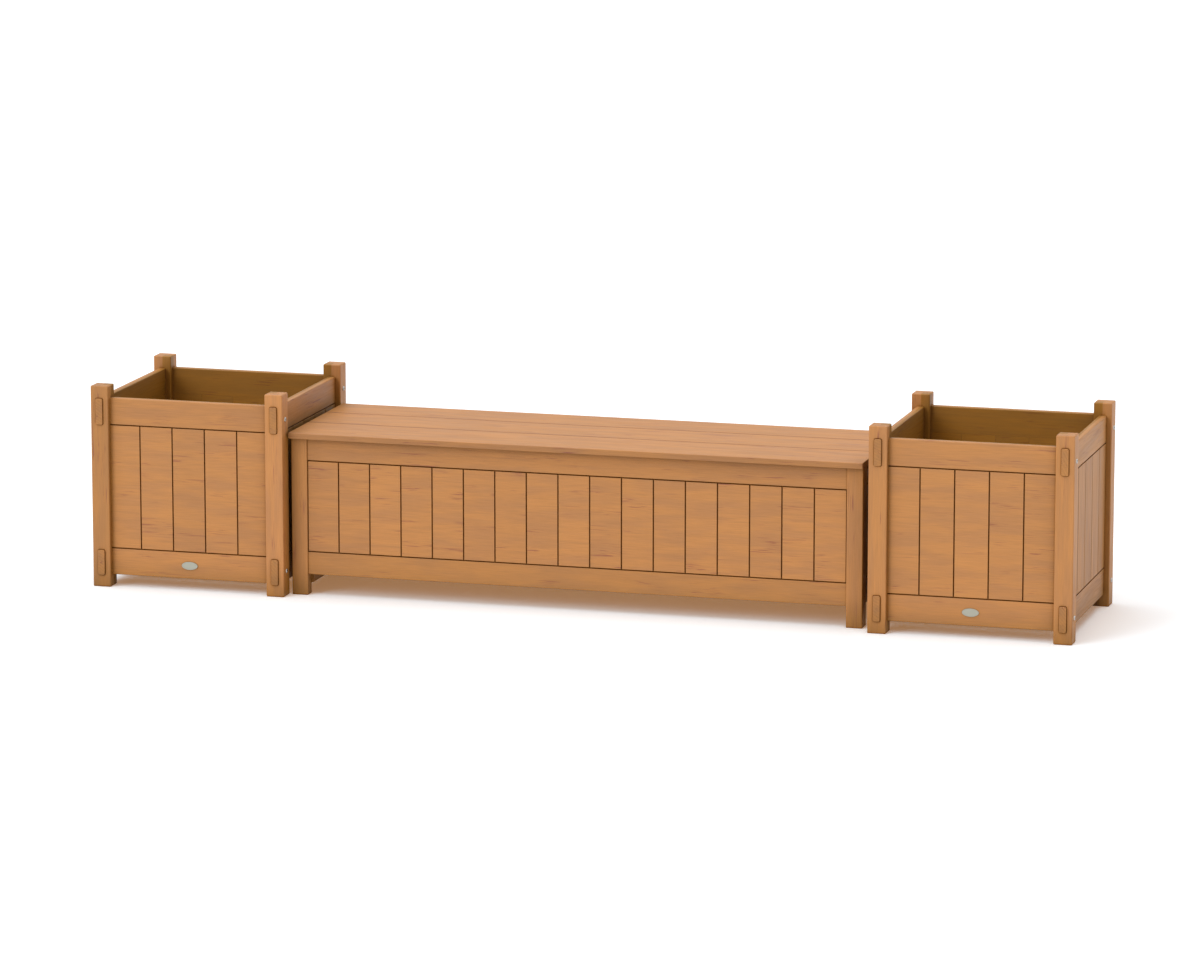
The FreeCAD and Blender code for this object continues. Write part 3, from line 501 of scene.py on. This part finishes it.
    def line_seams(self, tree: bpy.types.NodeTree, colour: Socket) -> Socket:
        """Paint a faint shade line along each edge joint, and shade on faces looking along Y.

        Args:
            tree: The material's node tree.
            colour: The colour away from the joints.

        Returns:
            The colour with its lines and edges.
        """
        # the faces that look along Y are darkened: painted shade
        normal = add_node(tree, "ShaderNodeTexCoord").outputs["Normal"]
        facing = add_node(tree, "ShaderNodeSeparateXYZ", None,
                          {"Vector": normal}).outputs[Axis.Y.value]
        edge = add_node(tree, "ShaderNodeMath", {"operation": "ABSOLUTE"}, {0: facing}).outputs[0]
        tone = add_node(tree, "ShaderNodeMapRange", SMOOTH, self.edge_shade.of(edge)).outputs[0]
        colour = add_node(tree, "ShaderNodeVectorMath", {"operation": "SCALE"},
                          {0: colour, "Scale": tone}).outputs[0]
        place = add_node(tree, "ShaderNodeTexCoord").outputs["Object"]
        across = add_node(tree, "ShaderNodeSeparateXYZ", None,
                          {"Vector": place}).outputs[Axis.Y.value]
        spread = Span(self.seam_core * self.seam_mm * MM, self.seam_mm * MM, 1.0, 0.0)
        # a darker line along each joint: painted shade in the groove
        for seam in self.seams:
            shift = add_node(tree, "ShaderNodeMath", {"operation": "SUBTRACT"},
                             {0: across, 1: seam}).outputs[0]
            far = add_node(tree, "ShaderNodeMath", {"operation": "ABSOLUTE"},
                           {0: shift}).outputs[0]
            share = add_node(tree, "ShaderNodeMapRange", SMOOTH, spread.of(far)).outputs[0]
            colour = add_node(tree, "ShaderNodeMix", MULTIPLIED, {
                0: share, FIRST: colour, SECOND: linear(self.seam_shade)}).outputs[MIXED]
        return colour

    def paint_shade(self, tree: bpy.types.NodeTree, colour: Socket) -> tuple[Socket, Socket]:
        """Paint shade softly into deep corners, and more into joints and grooves.

        Args:
            tree: The material's node tree.
            colour: The colour of the open faces.

        Returns:
            The colour with its darker places, and a value of one in joints and grooves.
        """
        # ambient occlusion darkens the colour where walls are near: painted shade
        for painted_layer in (self.corners, self.gaps):
            hollow = add_node(tree, "ShaderNodeAmbientOcclusion", FEELERS,
                              {"Distance": painted_layer.reach * MM}).outputs["AO"]
            share = add_node(tree, "ShaderNodeMapRange", None, painted_layer.span.of(hollow)).outputs[0]
            colour = add_node(tree, "ShaderNodeMix", MULTIPLIED, {
                0: share, FIRST: colour, SECOND: linear(painted_layer.tint)}).outputs[MIXED]
        return colour, share

    def shaded(self, code: str) -> Colour:
        """Shade a stain colour, most in blue: thicker stain, and painted shade on planter sides.

        Args:
            code: The colour at the usual shade, as six hex digits after a hash sign.

        Returns:
            The linear colour at this timber's shade.
        """
        red, green, blue, alpha = linear(code)
        thin = self.shade.value
        return (red * thin, green * thin, blue * thin * thin, alpha)

    def build(self) -> bpy.types.Material:
        """Build the node tree.

        Returns:
            The finished material.
        """
        material = fresh_material(self.name)
        tree = material.node_tree
        place, chance = self.own_place(tree)
        streak = self.pattern(tree, place, self.streak)
        fibre = self.pattern(tree, place, self.fibre)
        colour = self.stain(tree, place, chance, streak, fibre)
        colour = self.end_grain(tree, place, colour)
        if self.well:
            colour = self.paint_well_shade(tree, colour)
        if self.seams:
            colour = self.line_seams(tree, colour)
        colour, gaps = self.paint_shade(tree, colour)
        relief = add_node(tree, "ShaderNodeMath", {"operation": "MULTIPLY"},
                          {0: fibre, 1: streak}).outputs[0]
        bump = add_node(tree, "ShaderNodeBump", None, {
            "Strength": self.relief, "Distance": self.relief_mm * MM, "Height": relief}).outputs[0]
        rough = add_node(tree, "ShaderNodeMapRange", SMOOTH, self.roughness.of(streak)).outputs[0]
        rough = add_node(tree, "ShaderNodeMapRange", None, {
            "Value": gaps, "To Min": rough, "To Max": self.dusty}).outputs[0]
        surface = add_node(tree, "ShaderNodeBsdfPrincipled", None, {
            "Base Color": colour, "Roughness": rough, "Normal": bump, "IOR": self.ior,
        }).outputs[0]
        add_node(tree, "ShaderNodeOutputMaterial", None, {"Surface": surface})
        return material


@dataclass(frozen=True)
class ZincPlatedSteel:
    """Turned and stamped steel with bright zinc plating.

    The eye gets a cool silver with soft, slightly blurred reflections.

    Args:
        name: The material's name.
        bright: The plating's colour.
        dull: Its colour where it has dulled.
        roughness: How the mottle changes its roughness.
        mottle_mm: The size of the mottle, in millimetres.
        mottle_detail: How many finer levels it has.
    """

    name: str = "zinc_plated_steel"
    bright: str = "#C2C0BB"
    dull: str = "#93918D"
    roughness: Span = Span(least=0.24, most=0.4)
    # real crystals are too fine to show, so the mottle is drawn coarser
    mottle_mm: float = 0.8
    mottle_detail: float = 3.0

    def build(self) -> bpy.types.Material:
        """Build the node tree.

        Returns:
            The finished material.
        """
        material = fresh_material(self.name)
        tree = material.node_tree
        place = add_node(tree, "ShaderNodeTexCoord").outputs["Object"]
        mottle = add_node(tree, "ShaderNodeTexNoise", None, {
            "Vector": place, "Scale": 1 / (self.mottle_mm * MM),
            "Detail": self.mottle_detail}).outputs["Fac"]
        colour = add_node(tree, "ShaderNodeMix", COLOURS, {
            0: mottle, FIRST: linear(self.dull), SECOND: linear(self.bright)}).outputs[MIXED]
        rough = add_node(tree, "ShaderNodeMapRange", None, self.roughness.of(mottle)).outputs[0]
        surface = add_node(tree, "ShaderNodeBsdfPrincipled", None, {
            "Base Color": colour, "Metallic": 1.0, "Roughness": rough}).outputs[0]
        add_node(tree, "ShaderNodeOutputMaterial", None, {"Surface": surface})
        return material


@dataclass(frozen=True)
class TumbledStainlessSteel:
    """Cold-headed stainless steel, tumbled to a soft sheen.

    The eye gets a warm grey metal whose socket and seat get painted shade.

    Args:
        name: The material's name.
        clean: The steel's colour.
        hollow_shade: The colour of the painted shade in the socket and seat.
        roughness: How the tumbling marks change its roughness.
        mark_mm: The size of the marks, in millimetres.
        mark_detail: How many finer levels they have.
        hollow_mm: How near a wall has to be for painted shade, in millimetres.
        open_air: How much of the plain steel shows for each share of open air.
    """

    name: str = "tumbled_stainless_steel"
    clean: str = "#BDB8B1"
    hollow_shade: str = "#2E2620"
    roughness: Span = Span(least=0.28, most=0.44)
    # real marks are too fine to show, so they are drawn coarser
    mark_mm: float = 0.6
    mark_detail: float = 3.0
    hollow_mm: float = 3.0
    open_air: Span = Span(0.3, 0.8)

    def build(self) -> bpy.types.Material:
        """Build the node tree.

        Returns:
            The finished material.
        """
        material = fresh_material(self.name)
        tree = material.node_tree
        place = add_node(tree, "ShaderNodeTexCoord").outputs["Object"]
        marks = add_node(tree, "ShaderNodeTexNoise", None, {
            "Vector": place, "Scale": 1 / (self.mark_mm * MM),
            "Detail": self.mark_detail}).outputs["Fac"]
        # ambient occlusion darkens the socket and seat: painted shade
        hollow = add_node(tree, "ShaderNodeAmbientOcclusion", FEELERS,
                          {"Distance": self.hollow_mm * MM}).outputs["AO"]
        share = add_node(tree, "ShaderNodeMapRange", SMOOTH, self.open_air.of(hollow)).outputs[0]
        colour = add_node(tree, "ShaderNodeMix", COLOURS, {
            0: share, FIRST: linear(self.hollow_shade), SECOND: linear(self.clean)}).outputs[MIXED]
        rough = add_node(tree, "ShaderNodeMapRange", None, self.roughness.of(marks)).outputs[0]
        surface = add_node(tree, "ShaderNodeBsdfPrincipled", None, {
            "Base Color": colour, "Metallic": 1.0, "Roughness": rough}).outputs[0]
        add_node(tree, "ShaderNodeOutputMaterial", None, {"Surface": surface})
        return material


@dataclass(frozen=True)
class SatinAluminium:
    """Pressed aluminium with a fine brushed satin face.

    The eye gets a pale grey green with a faint horizontal brushing.

    Args:
        name: The material's name.
        colour: The face's colour.
        brush_mm: The spacing of the brushing marks, in millimetres.
        brush_length_mm: The length of the marks, in millimetres.
        brush_detail: How many finer levels they have.
        relief_mm: The depth of the marks, in millimetres.
        relief: How strongly that depth shows.
        roughness: How the marks change its roughness.
        tone: How much darker or lighter the marks are.
        metallic: How much of the face is bare metal under its thin dull oxide.
    """

    name: str = "satin_aluminium"
    colour: str = "#A8A79A"
    # real brushing is too fine to show, so it is drawn coarser
    brush_mm: float = 0.5
    brush_length_mm: float = 25.0
    brush_detail: float = 3.0
    relief_mm: float = 0.05
    relief: float = 0.15
    roughness: Span = Span(least=0.34, most=0.5)
    tone: Span = Span(least=0.94, most=1.03)
    metallic: float = 0.85

    def build(self) -> bpy.types.Material:
        """Build the node tree.

        Returns:
            The finished material.
        """
        material = fresh_material(self.name)
        tree = material.node_tree
        place = add_node(tree, "ShaderNodeTexCoord").outputs["Object"]
        along, across = 1 / (self.brush_length_mm * MM), 1 / (self.brush_mm * MM)
        long = add_node(tree, "ShaderNodeVectorMath", {"operation": "MULTIPLY"},
                        {0: place, 1: (along, along, across)}).outputs[0]
        brush = add_node(tree, "ShaderNodeTexNoise", None, {
            "Vector": long, "Scale": 1.0, "Detail": self.brush_detail}).outputs["Fac"]
        rough = add_node(tree, "ShaderNodeMapRange", None, self.roughness.of(brush)).outputs[0]
        bump = add_node(tree, "ShaderNodeBump", None, {
            "Strength": self.relief, "Distance": self.relief_mm * MM, "Height": brush}).outputs[0]
        level = add_node(tree, "ShaderNodeMapRange", None, self.tone.of(brush)).outputs[0]
        colour = add_node(tree, "ShaderNodeVectorMath", {"operation": "SCALE"},
                          {0: linear(self.colour)[:3], "Scale": level}).outputs[0]
        surface = add_node(tree, "ShaderNodeBsdfPrincipled", None, {
            "Base Color": colour, "Metallic": self.metallic, "Roughness": rough,
            "Normal": bump}).outputs[0]
        add_node(tree, "ShaderNodeOutputMaterial", None, {"Surface": surface})
        return material


@dataclass(frozen=True)
class Timber:
    """A CAD node of wood.

    Args:
        node: The node's name.
        grain: The direction of its fibres.
        rows: The direction and the number of its pieces, once for each way they repeat.
        shade: How dark its stain is; on planter side timbers, painted shade.
        well: The planter well that it stands around, if there is one.
        seams: Where its joints with its neighbours are along Y, in metres.
    """

    node: str
    grain: Axis
    rows: tuple[tuple[Axis, int], ...] = ()
    shade: Shade = Shade.USUAL
    well: Well | None = None
    seams: tuple[float, ...] = ()

    def dress(self, seed: float) -> None:
        """Give the node its own stained softwood.

        Args:
            seed: Moves its grain pattern.
        """
        rows = tuple(row_of(self.node, axis, count) for axis, count in self.rows)
        wood = StainedSoftwood(f"stained_softwood_{self.node}", self.grain, rows, seed,
                               self.shade, self.well, self.seams)
        dress(self.node, wood.build())


def dress_timbers(timbers: list[Timber], seed: float) -> int:
    """Give timbers their own stained softwood, each with the next grain pattern.

    Args:
        timbers: The timbers.
        seed: The first one's grain pattern.

    Returns:
        How many nodes were dressed.
    """
    for number, timber in enumerate(timbers):
        timber.dress(seed + number)
    return len(timbers)


@dataclass
class Planter:
    """One planter's timbers.

    Args:
        prefix: What its nodes' names begin with.
        boards: How many boards each panel has.
        slats: How many slats its floor has.
        shades: The posts whose wood took the stain differently.
    """

    prefix: str
    boards: int = 5
    slats: int = 5
    shades: dict[str, Shade] = field(default_factory=dict)

    def dress(self, seed: float) -> int:
        """Give every timber of the planter its own stained softwood.

        Args:
            seed: Where the planter's grain patterns begin.

        Returns:
            How many nodes were dressed.
        """
        well = self.well()
        posts = ("post_front_left", "post_front_right", "post_back_left", "post_back_right")
        timbers = [Timber(f"{self.prefix}_{name}", Axis.Z,
                          shade=self.shades.get(name, Shade.USUAL), well=well)
                   for name in posts]
        panel = ((Axis.X, self.boards),)
        for side in ("front", "back"):
            for level in ("top", "bottom"):
                timbers.append(Timber(f"{self.prefix}_{side}_{level}_rail", Axis.X, well=well))
            timbers.append(Timber(f"{self.prefix}_{side}_boards", Axis.X, panel, well=well))
        pair = (Axis.X, 2)
        sides = ((Axis.Y, self.boards), pair)
        slats = ((Axis.Y, self.slats),)
        # the side timbers are darker, the blue most: painted shade on the faces that look to the
        # sides
        for name, grain, rows, shade in (
                ("side_top_rails", Axis.Y, (pair,), Shade.DEEP),
                ("side_bottom_rails", Axis.Y, (pair,), Shade.DEEP),
                ("side_boards", Axis.Z, sides, Shade.DEEP),
                ("floor_slats", Axis.X, slats, Shade.ROUGH),
                ("floor_bearers", Axis.Y, (pair,), Shade.ROUGH)):
            timbers.append(Timber(f"{self.prefix}_{name}", grain, rows, shade, well))
        return dress_timbers(timbers, seed)

    def well(self) -> Well:
        """Find the well between the panels, out to the middle of their thickness.

        Returns:
            The well, which is square.
        """
        low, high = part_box(f"{self.prefix}_front_boards")
        back_low, back_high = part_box(f"{self.prefix}_back_boards")
        front, back = (low[1] + high[1]) / 2, (back_low[1] + back_high[1]) / 2
        return Well((low[0] + high[0]) / 2, (front + back) / 2, (back - front) / 2)


@dataclass
class Bench:
    """The storage bench's timbers and its lid.

    Args:
        boards: How many boards the front and the back have.
        end_boards: How many boards each end has.
        floor_boards: How many boards the floor has.
        battens: How many battens join the lid.
    """

    boards: int = 17
    end_boards: int = 4
    floor_boards: int = 16
    battens: int = 3

    def dress(self, seed: float) -> int:
        """Give every timber of the bench and its lid its own stained softwood.

        Args:
            seed: Where the bench's grain patterns begin.

        Returns:
            How many nodes were dressed.
        """
        corners = ("front_left", "front_right", "back_left", "back_right")
        timbers = [Timber(f"bench_leg_{name}", Axis.Z) for name in corners]
        panel = ((Axis.X, self.boards),)
        for side in ("front", "back"):
            # the bottom rails are darker than the top ones
            for level, shade in (("top", Shade.USUAL), ("bottom", Shade.DEEP)):
                timbers.append(Timber(f"bench_{side}_{level}_rail", Axis.X, shade=shade))
            timbers.append(Timber(f"bench_{side}_boards", Axis.X, panel))
        pair = (Axis.X, 2)
        ends = ((Axis.Y, self.end_boards), pair)
        floor = ((Axis.X, self.floor_boards),)
        timbers += [
            Timber("bench_end_top_rails", Axis.Y, (pair,)),
            Timber("bench_end_bottom_rails", Axis.Y, (pair,)),
            Timber("bench_end_boards", Axis.Z, ends),
            Timber("bench_floor_boards", Axis.Y, floor, Shade.ROUGH),
            Timber("bench_floor_ledgers", Axis.X, ((Axis.Y, 2),), Shade.ROUGH),
            Timber("bench_end_bearers", Axis.Y, (pair,)),
        ]
        seams = self.lid_seams()
        timbers += [Timber(f"lid_{place}_board", Axis.X, seams=seams)
                    for place in ("front", "middle", "back")]
        timbers.append(Timber("lid_battens", Axis.Y, ((Axis.X, self.battens),), Shade.ROUGH))
        return dress_timbers(timbers, seed)

    def lid_seams(self) -> tuple[float, ...]:
        """Find the edge joints between the lid's boards.

        Returns:
            Each joint's place along Y, in metres.
        """
        joints = []
        for near, far in (("front", "middle"), ("middle", "back")):
            near_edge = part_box(f"lid_{near}_board")[1][1]
            far_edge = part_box(f"lid_{far}_board")[0][1]
            joints.append((near_edge + far_edge) / 2)
        return tuple(joints)


@dataclass
class FrameBolts:
    """The domed hexagon socket bolts that draw the planters' frames together.

    Args:
        radius: The head's radius; this and all lengths below are in millimetres.
        height: How far the head stands above its seat.
        rim: The height of the head's upright rim.
        flat: The radius of the flat round the socket, as a share of the head's.
        easing: How much the edge under the head is eased.
        seat: How deep the seat is let into the post.
        socket: The distance from the socket's middle to its corners.
        socket_depth: How deep the socket is.
        mouth_depth: How deep the bevel round the socket's mouth is.
        mouth_flare: How much wider the socket is at its mouth, as a factor.
        shank: The shank's radius.
        length: The shank's length.
        tip: How far the shank's end is bevelled.
        levels: The heights of the bolts above the floor.
        sides: How many points go round each ring.
        dome_steps: How many rings make the dome.
        crease: The least angle that looks sharp, in degrees.
        places: Where each head sits, and the direction in which it looks along X.
    """

    radius: float = 5.8
    height: float = 3.0
    rim: float = 0.6
    flat: float = 0.72
    easing: float = 0.1
    seat: float = 0.8
    socket: float = 3.7
    socket_depth: float = 2.2
    mouth_depth: float = 0.15
    mouth_flare: float = 1.07
    shank: float = 3.0
    length: float = 60.0
    tip: float = 1.0
    levels: tuple[float, ...] = (63.0, 444.0)
    sides: int = 36
    dome_steps: int = 7
    crease: float = 35.0
    places: list[tuple[Point, float]] = field(default_factory=list)

    def fit(self, planter: Planter) -> None:
        """Note where the bolts go in a planter's four posts.

        Args:
            planter: The planter.
        """
        for hand, face, look in (("left", 0, -1.0), ("right", 1, 1.0)):
            for row in ("front", "back"):
                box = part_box(f"{planter.prefix}_post_{row}_{hand}")
                x = box[face][0] - look * self.seat * MM
                y = (box[0][1] + box[1][1]) / 2
                self.places += [((x, y, level * MM), look) for level in self.levels]

    def outline(self) -> list[tuple[float, float, bool]]:
        """Work out the bolt's rings from the socket's floor to the shank's end.

        Returns:
            Each ring's radius, its height above the seat, and whether it is a hexagon.
        """
        flat = self.radius * self.flat
        rings = [
            (self.socket, self.height - self.socket_depth, True),
            (self.socket, self.height - self.mouth_depth, True),
            (self.socket * self.mouth_flare, self.height, True),
            (flat, self.height, False),
        ]
        for step in range(1, self.dome_steps + 1):
            bend = step / self.dome_steps * math.pi / 2
            out = flat + (self.radius - flat) * math.sin(bend)
            rings.append((out, self.rim + (self.height - self.rim) * math.cos(bend), False))
        rings += [
            (self.radius, self.easing, False),
            (self.radius - self.easing, 0.0, False),
            (self.shank, 0.0, False),
            (self.shank, self.tip - self.length, False),
            (self.shank - self.tip, -self.length, False),
        ]
        return rings

    def add_bolt(self, shape: bmesh.types.BMesh, place: Point, look: float) -> None:
        """Add one bolt as a closed surface.

        Args:
            shape: The mesh that gets the bolt.
            place: The middle of its seat.
            look: One for a head that looks along X, minus one for one that looks back.
        """
        previous = None
        for radius, rise, hexagon in self.outline():
            ring = []
            for step in range(self.sides):
                angle = math.tau * step / self.sides * look
                reach = radius
                if hexagon:
                    # its sides are nearest to the middle half-way between two corners
                    flank = angle % (math.pi / 3) - math.pi / 6
                    reach *= math.cos(math.pi / 6) / math.cos(flank)
                point = (rise * look, reach * math.cos(angle), reach * math.sin(angle))
                ring.append(shape.verts.new(
                    [middle + part * MM for middle, part in zip(place, point)]))
            if previous:
                for step in range(self.sides):
                    following = (step + 1) % self.sides
                    shape.faces.new((previous[step], ring[step],
                                     ring[following], previous[following]))
            else:
                shape.faces.new(ring)
            previous = ring
        shape.faces.new(reversed(previous))

    def build(self) -> None:
        """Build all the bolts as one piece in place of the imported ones."""
        shape = bmesh.new()
        for place, look in self.places:
            self.add_bolt(shape, place, look)
        bmesh.ops.recalc_face_normals(shape, faces=shape.faces)
        mesh = bpy.data.meshes.new("planter_socket_bolts")
        shape.to_mesh(mesh)
        shape.free()
        mesh.shade_smooth()
        mesh.set_sharp_from_angle(angle=math.radians(self.crease))
        mesh.materials.append(TumbledStainlessSteel().build())
        bolts = bpy.data.objects.new("planter_socket_bolts", mesh)
        bpy.context.scene.collection.objects.link(bolts)
        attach(bolts, BODY)
        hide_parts("planter_frame_bolts")
        LOG.info("built %d bolts as %s", len(self.places), bolts.name)


@dataclass
class Fittings:
    """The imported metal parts: insert nuts, hinges, screws and the blank plates.

    Args:
        steel: The nodes of zinc-plated steel.
        plates: The node of the blank plates.
    """

    steel: tuple[str, ...] = (
        "planter_insert_nuts", "hinge_box_leaves", "hinge_lid_leaves", "hinge_pins",
        "hinge_box_screws", "hinge_lid_screws", "lid_batten_screws",
    )
    plates: str = "planter_oval_plates"

    def dress(self) -> int:
        """Give the metal nodes their finishes.

        Returns:
            How many nodes were dressed.
        """
        plated = ZincPlatedSteel().build()
        for node in self.steel:
            dress(node, plated)
        dress(self.plates, SatinAluminium().build())
        return len(self.steel) + 1


@dataclass(frozen=True)
class Softbox:
    """A broad lamp, whose light falls alike everywhere.

    Args:
        name: The lamp's name.
        strength: Its light, in watts per square metre.
        height: How high it stands, in degrees above the floor.
        turn: How far it stands to the right of the bench's front, in degrees.
        breadth: How broad it looks from the bench, in degrees.
    """

    name: str
    strength: float
    height: float
    turn: float
    breadth: float

    def add(self) -> None:
        """Add the lamp to the scene."""
        data = bpy.data.lights.new(self.name, "SUN")
        data.energy = self.strength
        data.angle = math.radians(self.breadth)
        lamp = bpy.data.objects.new(self.name, data)
        lamp.rotation_euler = (math.radians(90 - self.height), 0.0, math.radians(self.turn))
        bpy.context.scene.collection.objects.link(lamp)


@dataclass
class Studio:
    """The pale floor, the soft light and the camera.

    Args:
        camera_at: The camera's place in metres.
        tilt: How far the camera looks down, in degrees.
        turn: How far the camera is turned about Z, in degrees.
        lens: The focal length in millimetres.
        sensor: The sensor's width in millimetres.
        sight: How far the camera sees, in metres.
        floor_size: The length of the floor's side, in metres.
        floor_colour: The floor's own colour.
        seen_floor: How bright the floor looks away from the object.
        painted_floor_shade: How bright it looks near the object, as painted shade.
        floor_reach: How far that nearness reaches, in metres.
        painted_shadow_glow: A warm glow where it is seen, painted light in its deepest shadow.
        sky_colour: The colour of the light and of the background.
        sky_strength: The even light from all around.
        sky_seen: How bright the background looks, where one is white.
        softboxes: The lamps.
    """

    camera_at: Point = (3.9686, -13.8553, 3.0921)
    tilt: float = 11.005
    turn: float = 15.979
    lens: float = 178.28
    sensor: float = 36.0
    sight: float = 200.0
    floor_size: float = 60.0
    floor_colour: str = "#F7F6F5"
    seen_floor: Colour = (0.92, 1.11, 1.23, 1.0)
    painted_floor_shade: Colour = (0.68, 0.92, 1.09, 1.0)
    floor_reach: float = 0.5
    painted_shadow_glow: Colour = (0.30, 0.15, 0.065, 1.0)
    sky_colour: str = "#FFFFFF"
    sky_strength: float = 0.40
    sky_seen: float = 1.0
    softboxes: tuple[Softbox, ...] = (
        Softbox("overhead_softbox", 1.68, 82.5, -50.0, 72.0),
        Softbox("front_softbox", 0.85, 27.0, -35.0, 28.0),
    )

    def add_camera(self) -> None:
        """Place the camera at the photograph's viewing angle."""
        data = bpy.data.cameras.new("camera")
        data.lens = self.lens
        data.sensor_width = self.sensor
        data.clip_end = self.sight
        camera = bpy.data.objects.new("camera", data)
        camera.location = self.camera_at
        camera.rotation_euler = (math.radians(90 - self.tilt), 0.0, math.radians(self.turn))
        bpy.context.scene.collection.objects.link(camera)
        bpy.context.scene.camera = camera

    def seen_rays(self, tree: bpy.types.NodeTree) -> Socket:
        """Tell what is seen, straight or in gloss or glass, from what only gives light.

        Args:
            tree: The floor's or the sky's node tree.

        Returns:
            One for what is seen, and nought for the rest.
        """
        path = add_node(tree, "ShaderNodeLightPath").outputs
        seen = add_node(tree, "ShaderNodeMath", {"operation": "MAXIMUM"},
                        {0: path["Is Camera Ray"], 1: path["Is Glossy Ray"]}).outputs[0]
        return add_node(tree, "ShaderNodeMath", {"operation": "MAXIMUM"},
                        {0: seen, 1: path["Is Transmission Ray"]}).outputs[0]

    def paper(self) -> bpy.types.Material:
        """Build the floor's matt white paper.

        The eye gets a pale ground whose shadows are deepened by painted shade, warmed by a glow.

        Returns:
            The finished material.
        """
        material = fresh_material("matt_white_paper")
        tree = material.node_tree
        plain = add_node(tree, "ShaderNodeBsdfDiffuse", None,
                         {"Color": linear(self.floor_colour)}).outputs[0]
        # ambient occlusion darkens the floor near the object: painted shade
        hollow = add_node(tree, "ShaderNodeAmbientOcclusion", FEELERS,
                          {"Distance": self.floor_reach}).outputs["AO"]
        near = add_node(tree, "ShaderNodeMix", COLOURS, {
            0: hollow, FIRST: self.painted_floor_shade, SECOND: self.seen_floor}).outputs[MIXED]
        lit = add_node(tree, "ShaderNodeBsdfDiffuse", None, {"Color": near}).outputs[0]
        # a glow that warms the floor's shadows where it is seen: painted light
        painted_glow = add_node(tree, "ShaderNodeEmission", None,
                          {"Color": self.painted_shadow_glow}).outputs[0]
        shown = add_node(tree, "ShaderNodeAddShader", None, {0: lit, 1: painted_glow}).outputs[0]
        surface = add_node(tree, "ShaderNodeMixShader", None,
                           {0: self.seen_rays(tree), 1: plain, 2: shown}).outputs[0]
        add_node(tree, "ShaderNodeOutputMaterial", None, {"Surface": surface})
        return material

    def add_floor(self) -> None:
        """Lay the plain pale floor."""
        mesh = bpy.data.meshes.new("studio_floor")
        half = self.floor_size / 2
        corners = [(-half, -half, 0), (half, -half, 0), (half, half, 0), (-half, half, 0)]
        mesh.from_pydata(corners, [], [(0, 1, 2, 3)])
        mesh.materials.append(self.paper())
        floor = bpy.data.objects.new("studio_floor", mesh)
        bpy.context.scene.collection.objects.link(floor)

    def add_sky(self) -> None:
        """Light the scene evenly, with white behind it."""
        world = bpy.data.worlds.new("studio")
        world.use_nodes = True
        tree = world.node_tree
        tree.nodes.clear()
        levels = Span(least=self.sky_strength, most=self.sky_seen)
        strength = add_node(tree, "ShaderNodeMapRange", None,
                            levels.of(self.seen_rays(tree))).outputs[0]
        sky = add_node(tree, "ShaderNodeBackground", None, {
            "Color": linear(self.sky_colour), "Strength": strength}).outputs[0]
        add_node(tree, "ShaderNodeOutputWorld", None, {"Surface": sky})
        bpy.context.scene.world = world

    def build(self) -> None:
        """Build the whole studio."""
        bpy.context.scene.view_settings.view_transform = "Standard"
        self.add_camera()
        self.add_floor()
        self.add_sky()
        for softbox in self.softboxes:
            softbox.add()


def main() -> None:
    """Dress the whole set, build the studio and report each piece."""
    logging.basicConfig(level=logging.INFO)
    dressed = 0
    bolts = FrameBolts()
    for number, (prefix, shades) in enumerate(PLANTERS.items()):
        planter = Planter(prefix, shades=shades)
        dressed += planter.dress(PLANTER_SEEDS * number)
        bolts.fit(planter)
    dressed += Bench().dress(BENCH_SEED)
    dressed += Fittings().dress()
    bolts.build()
    LOG.info("dressed %d nodes", dressed)
    Studio().build()


if __name__ == "__main__":
    main()
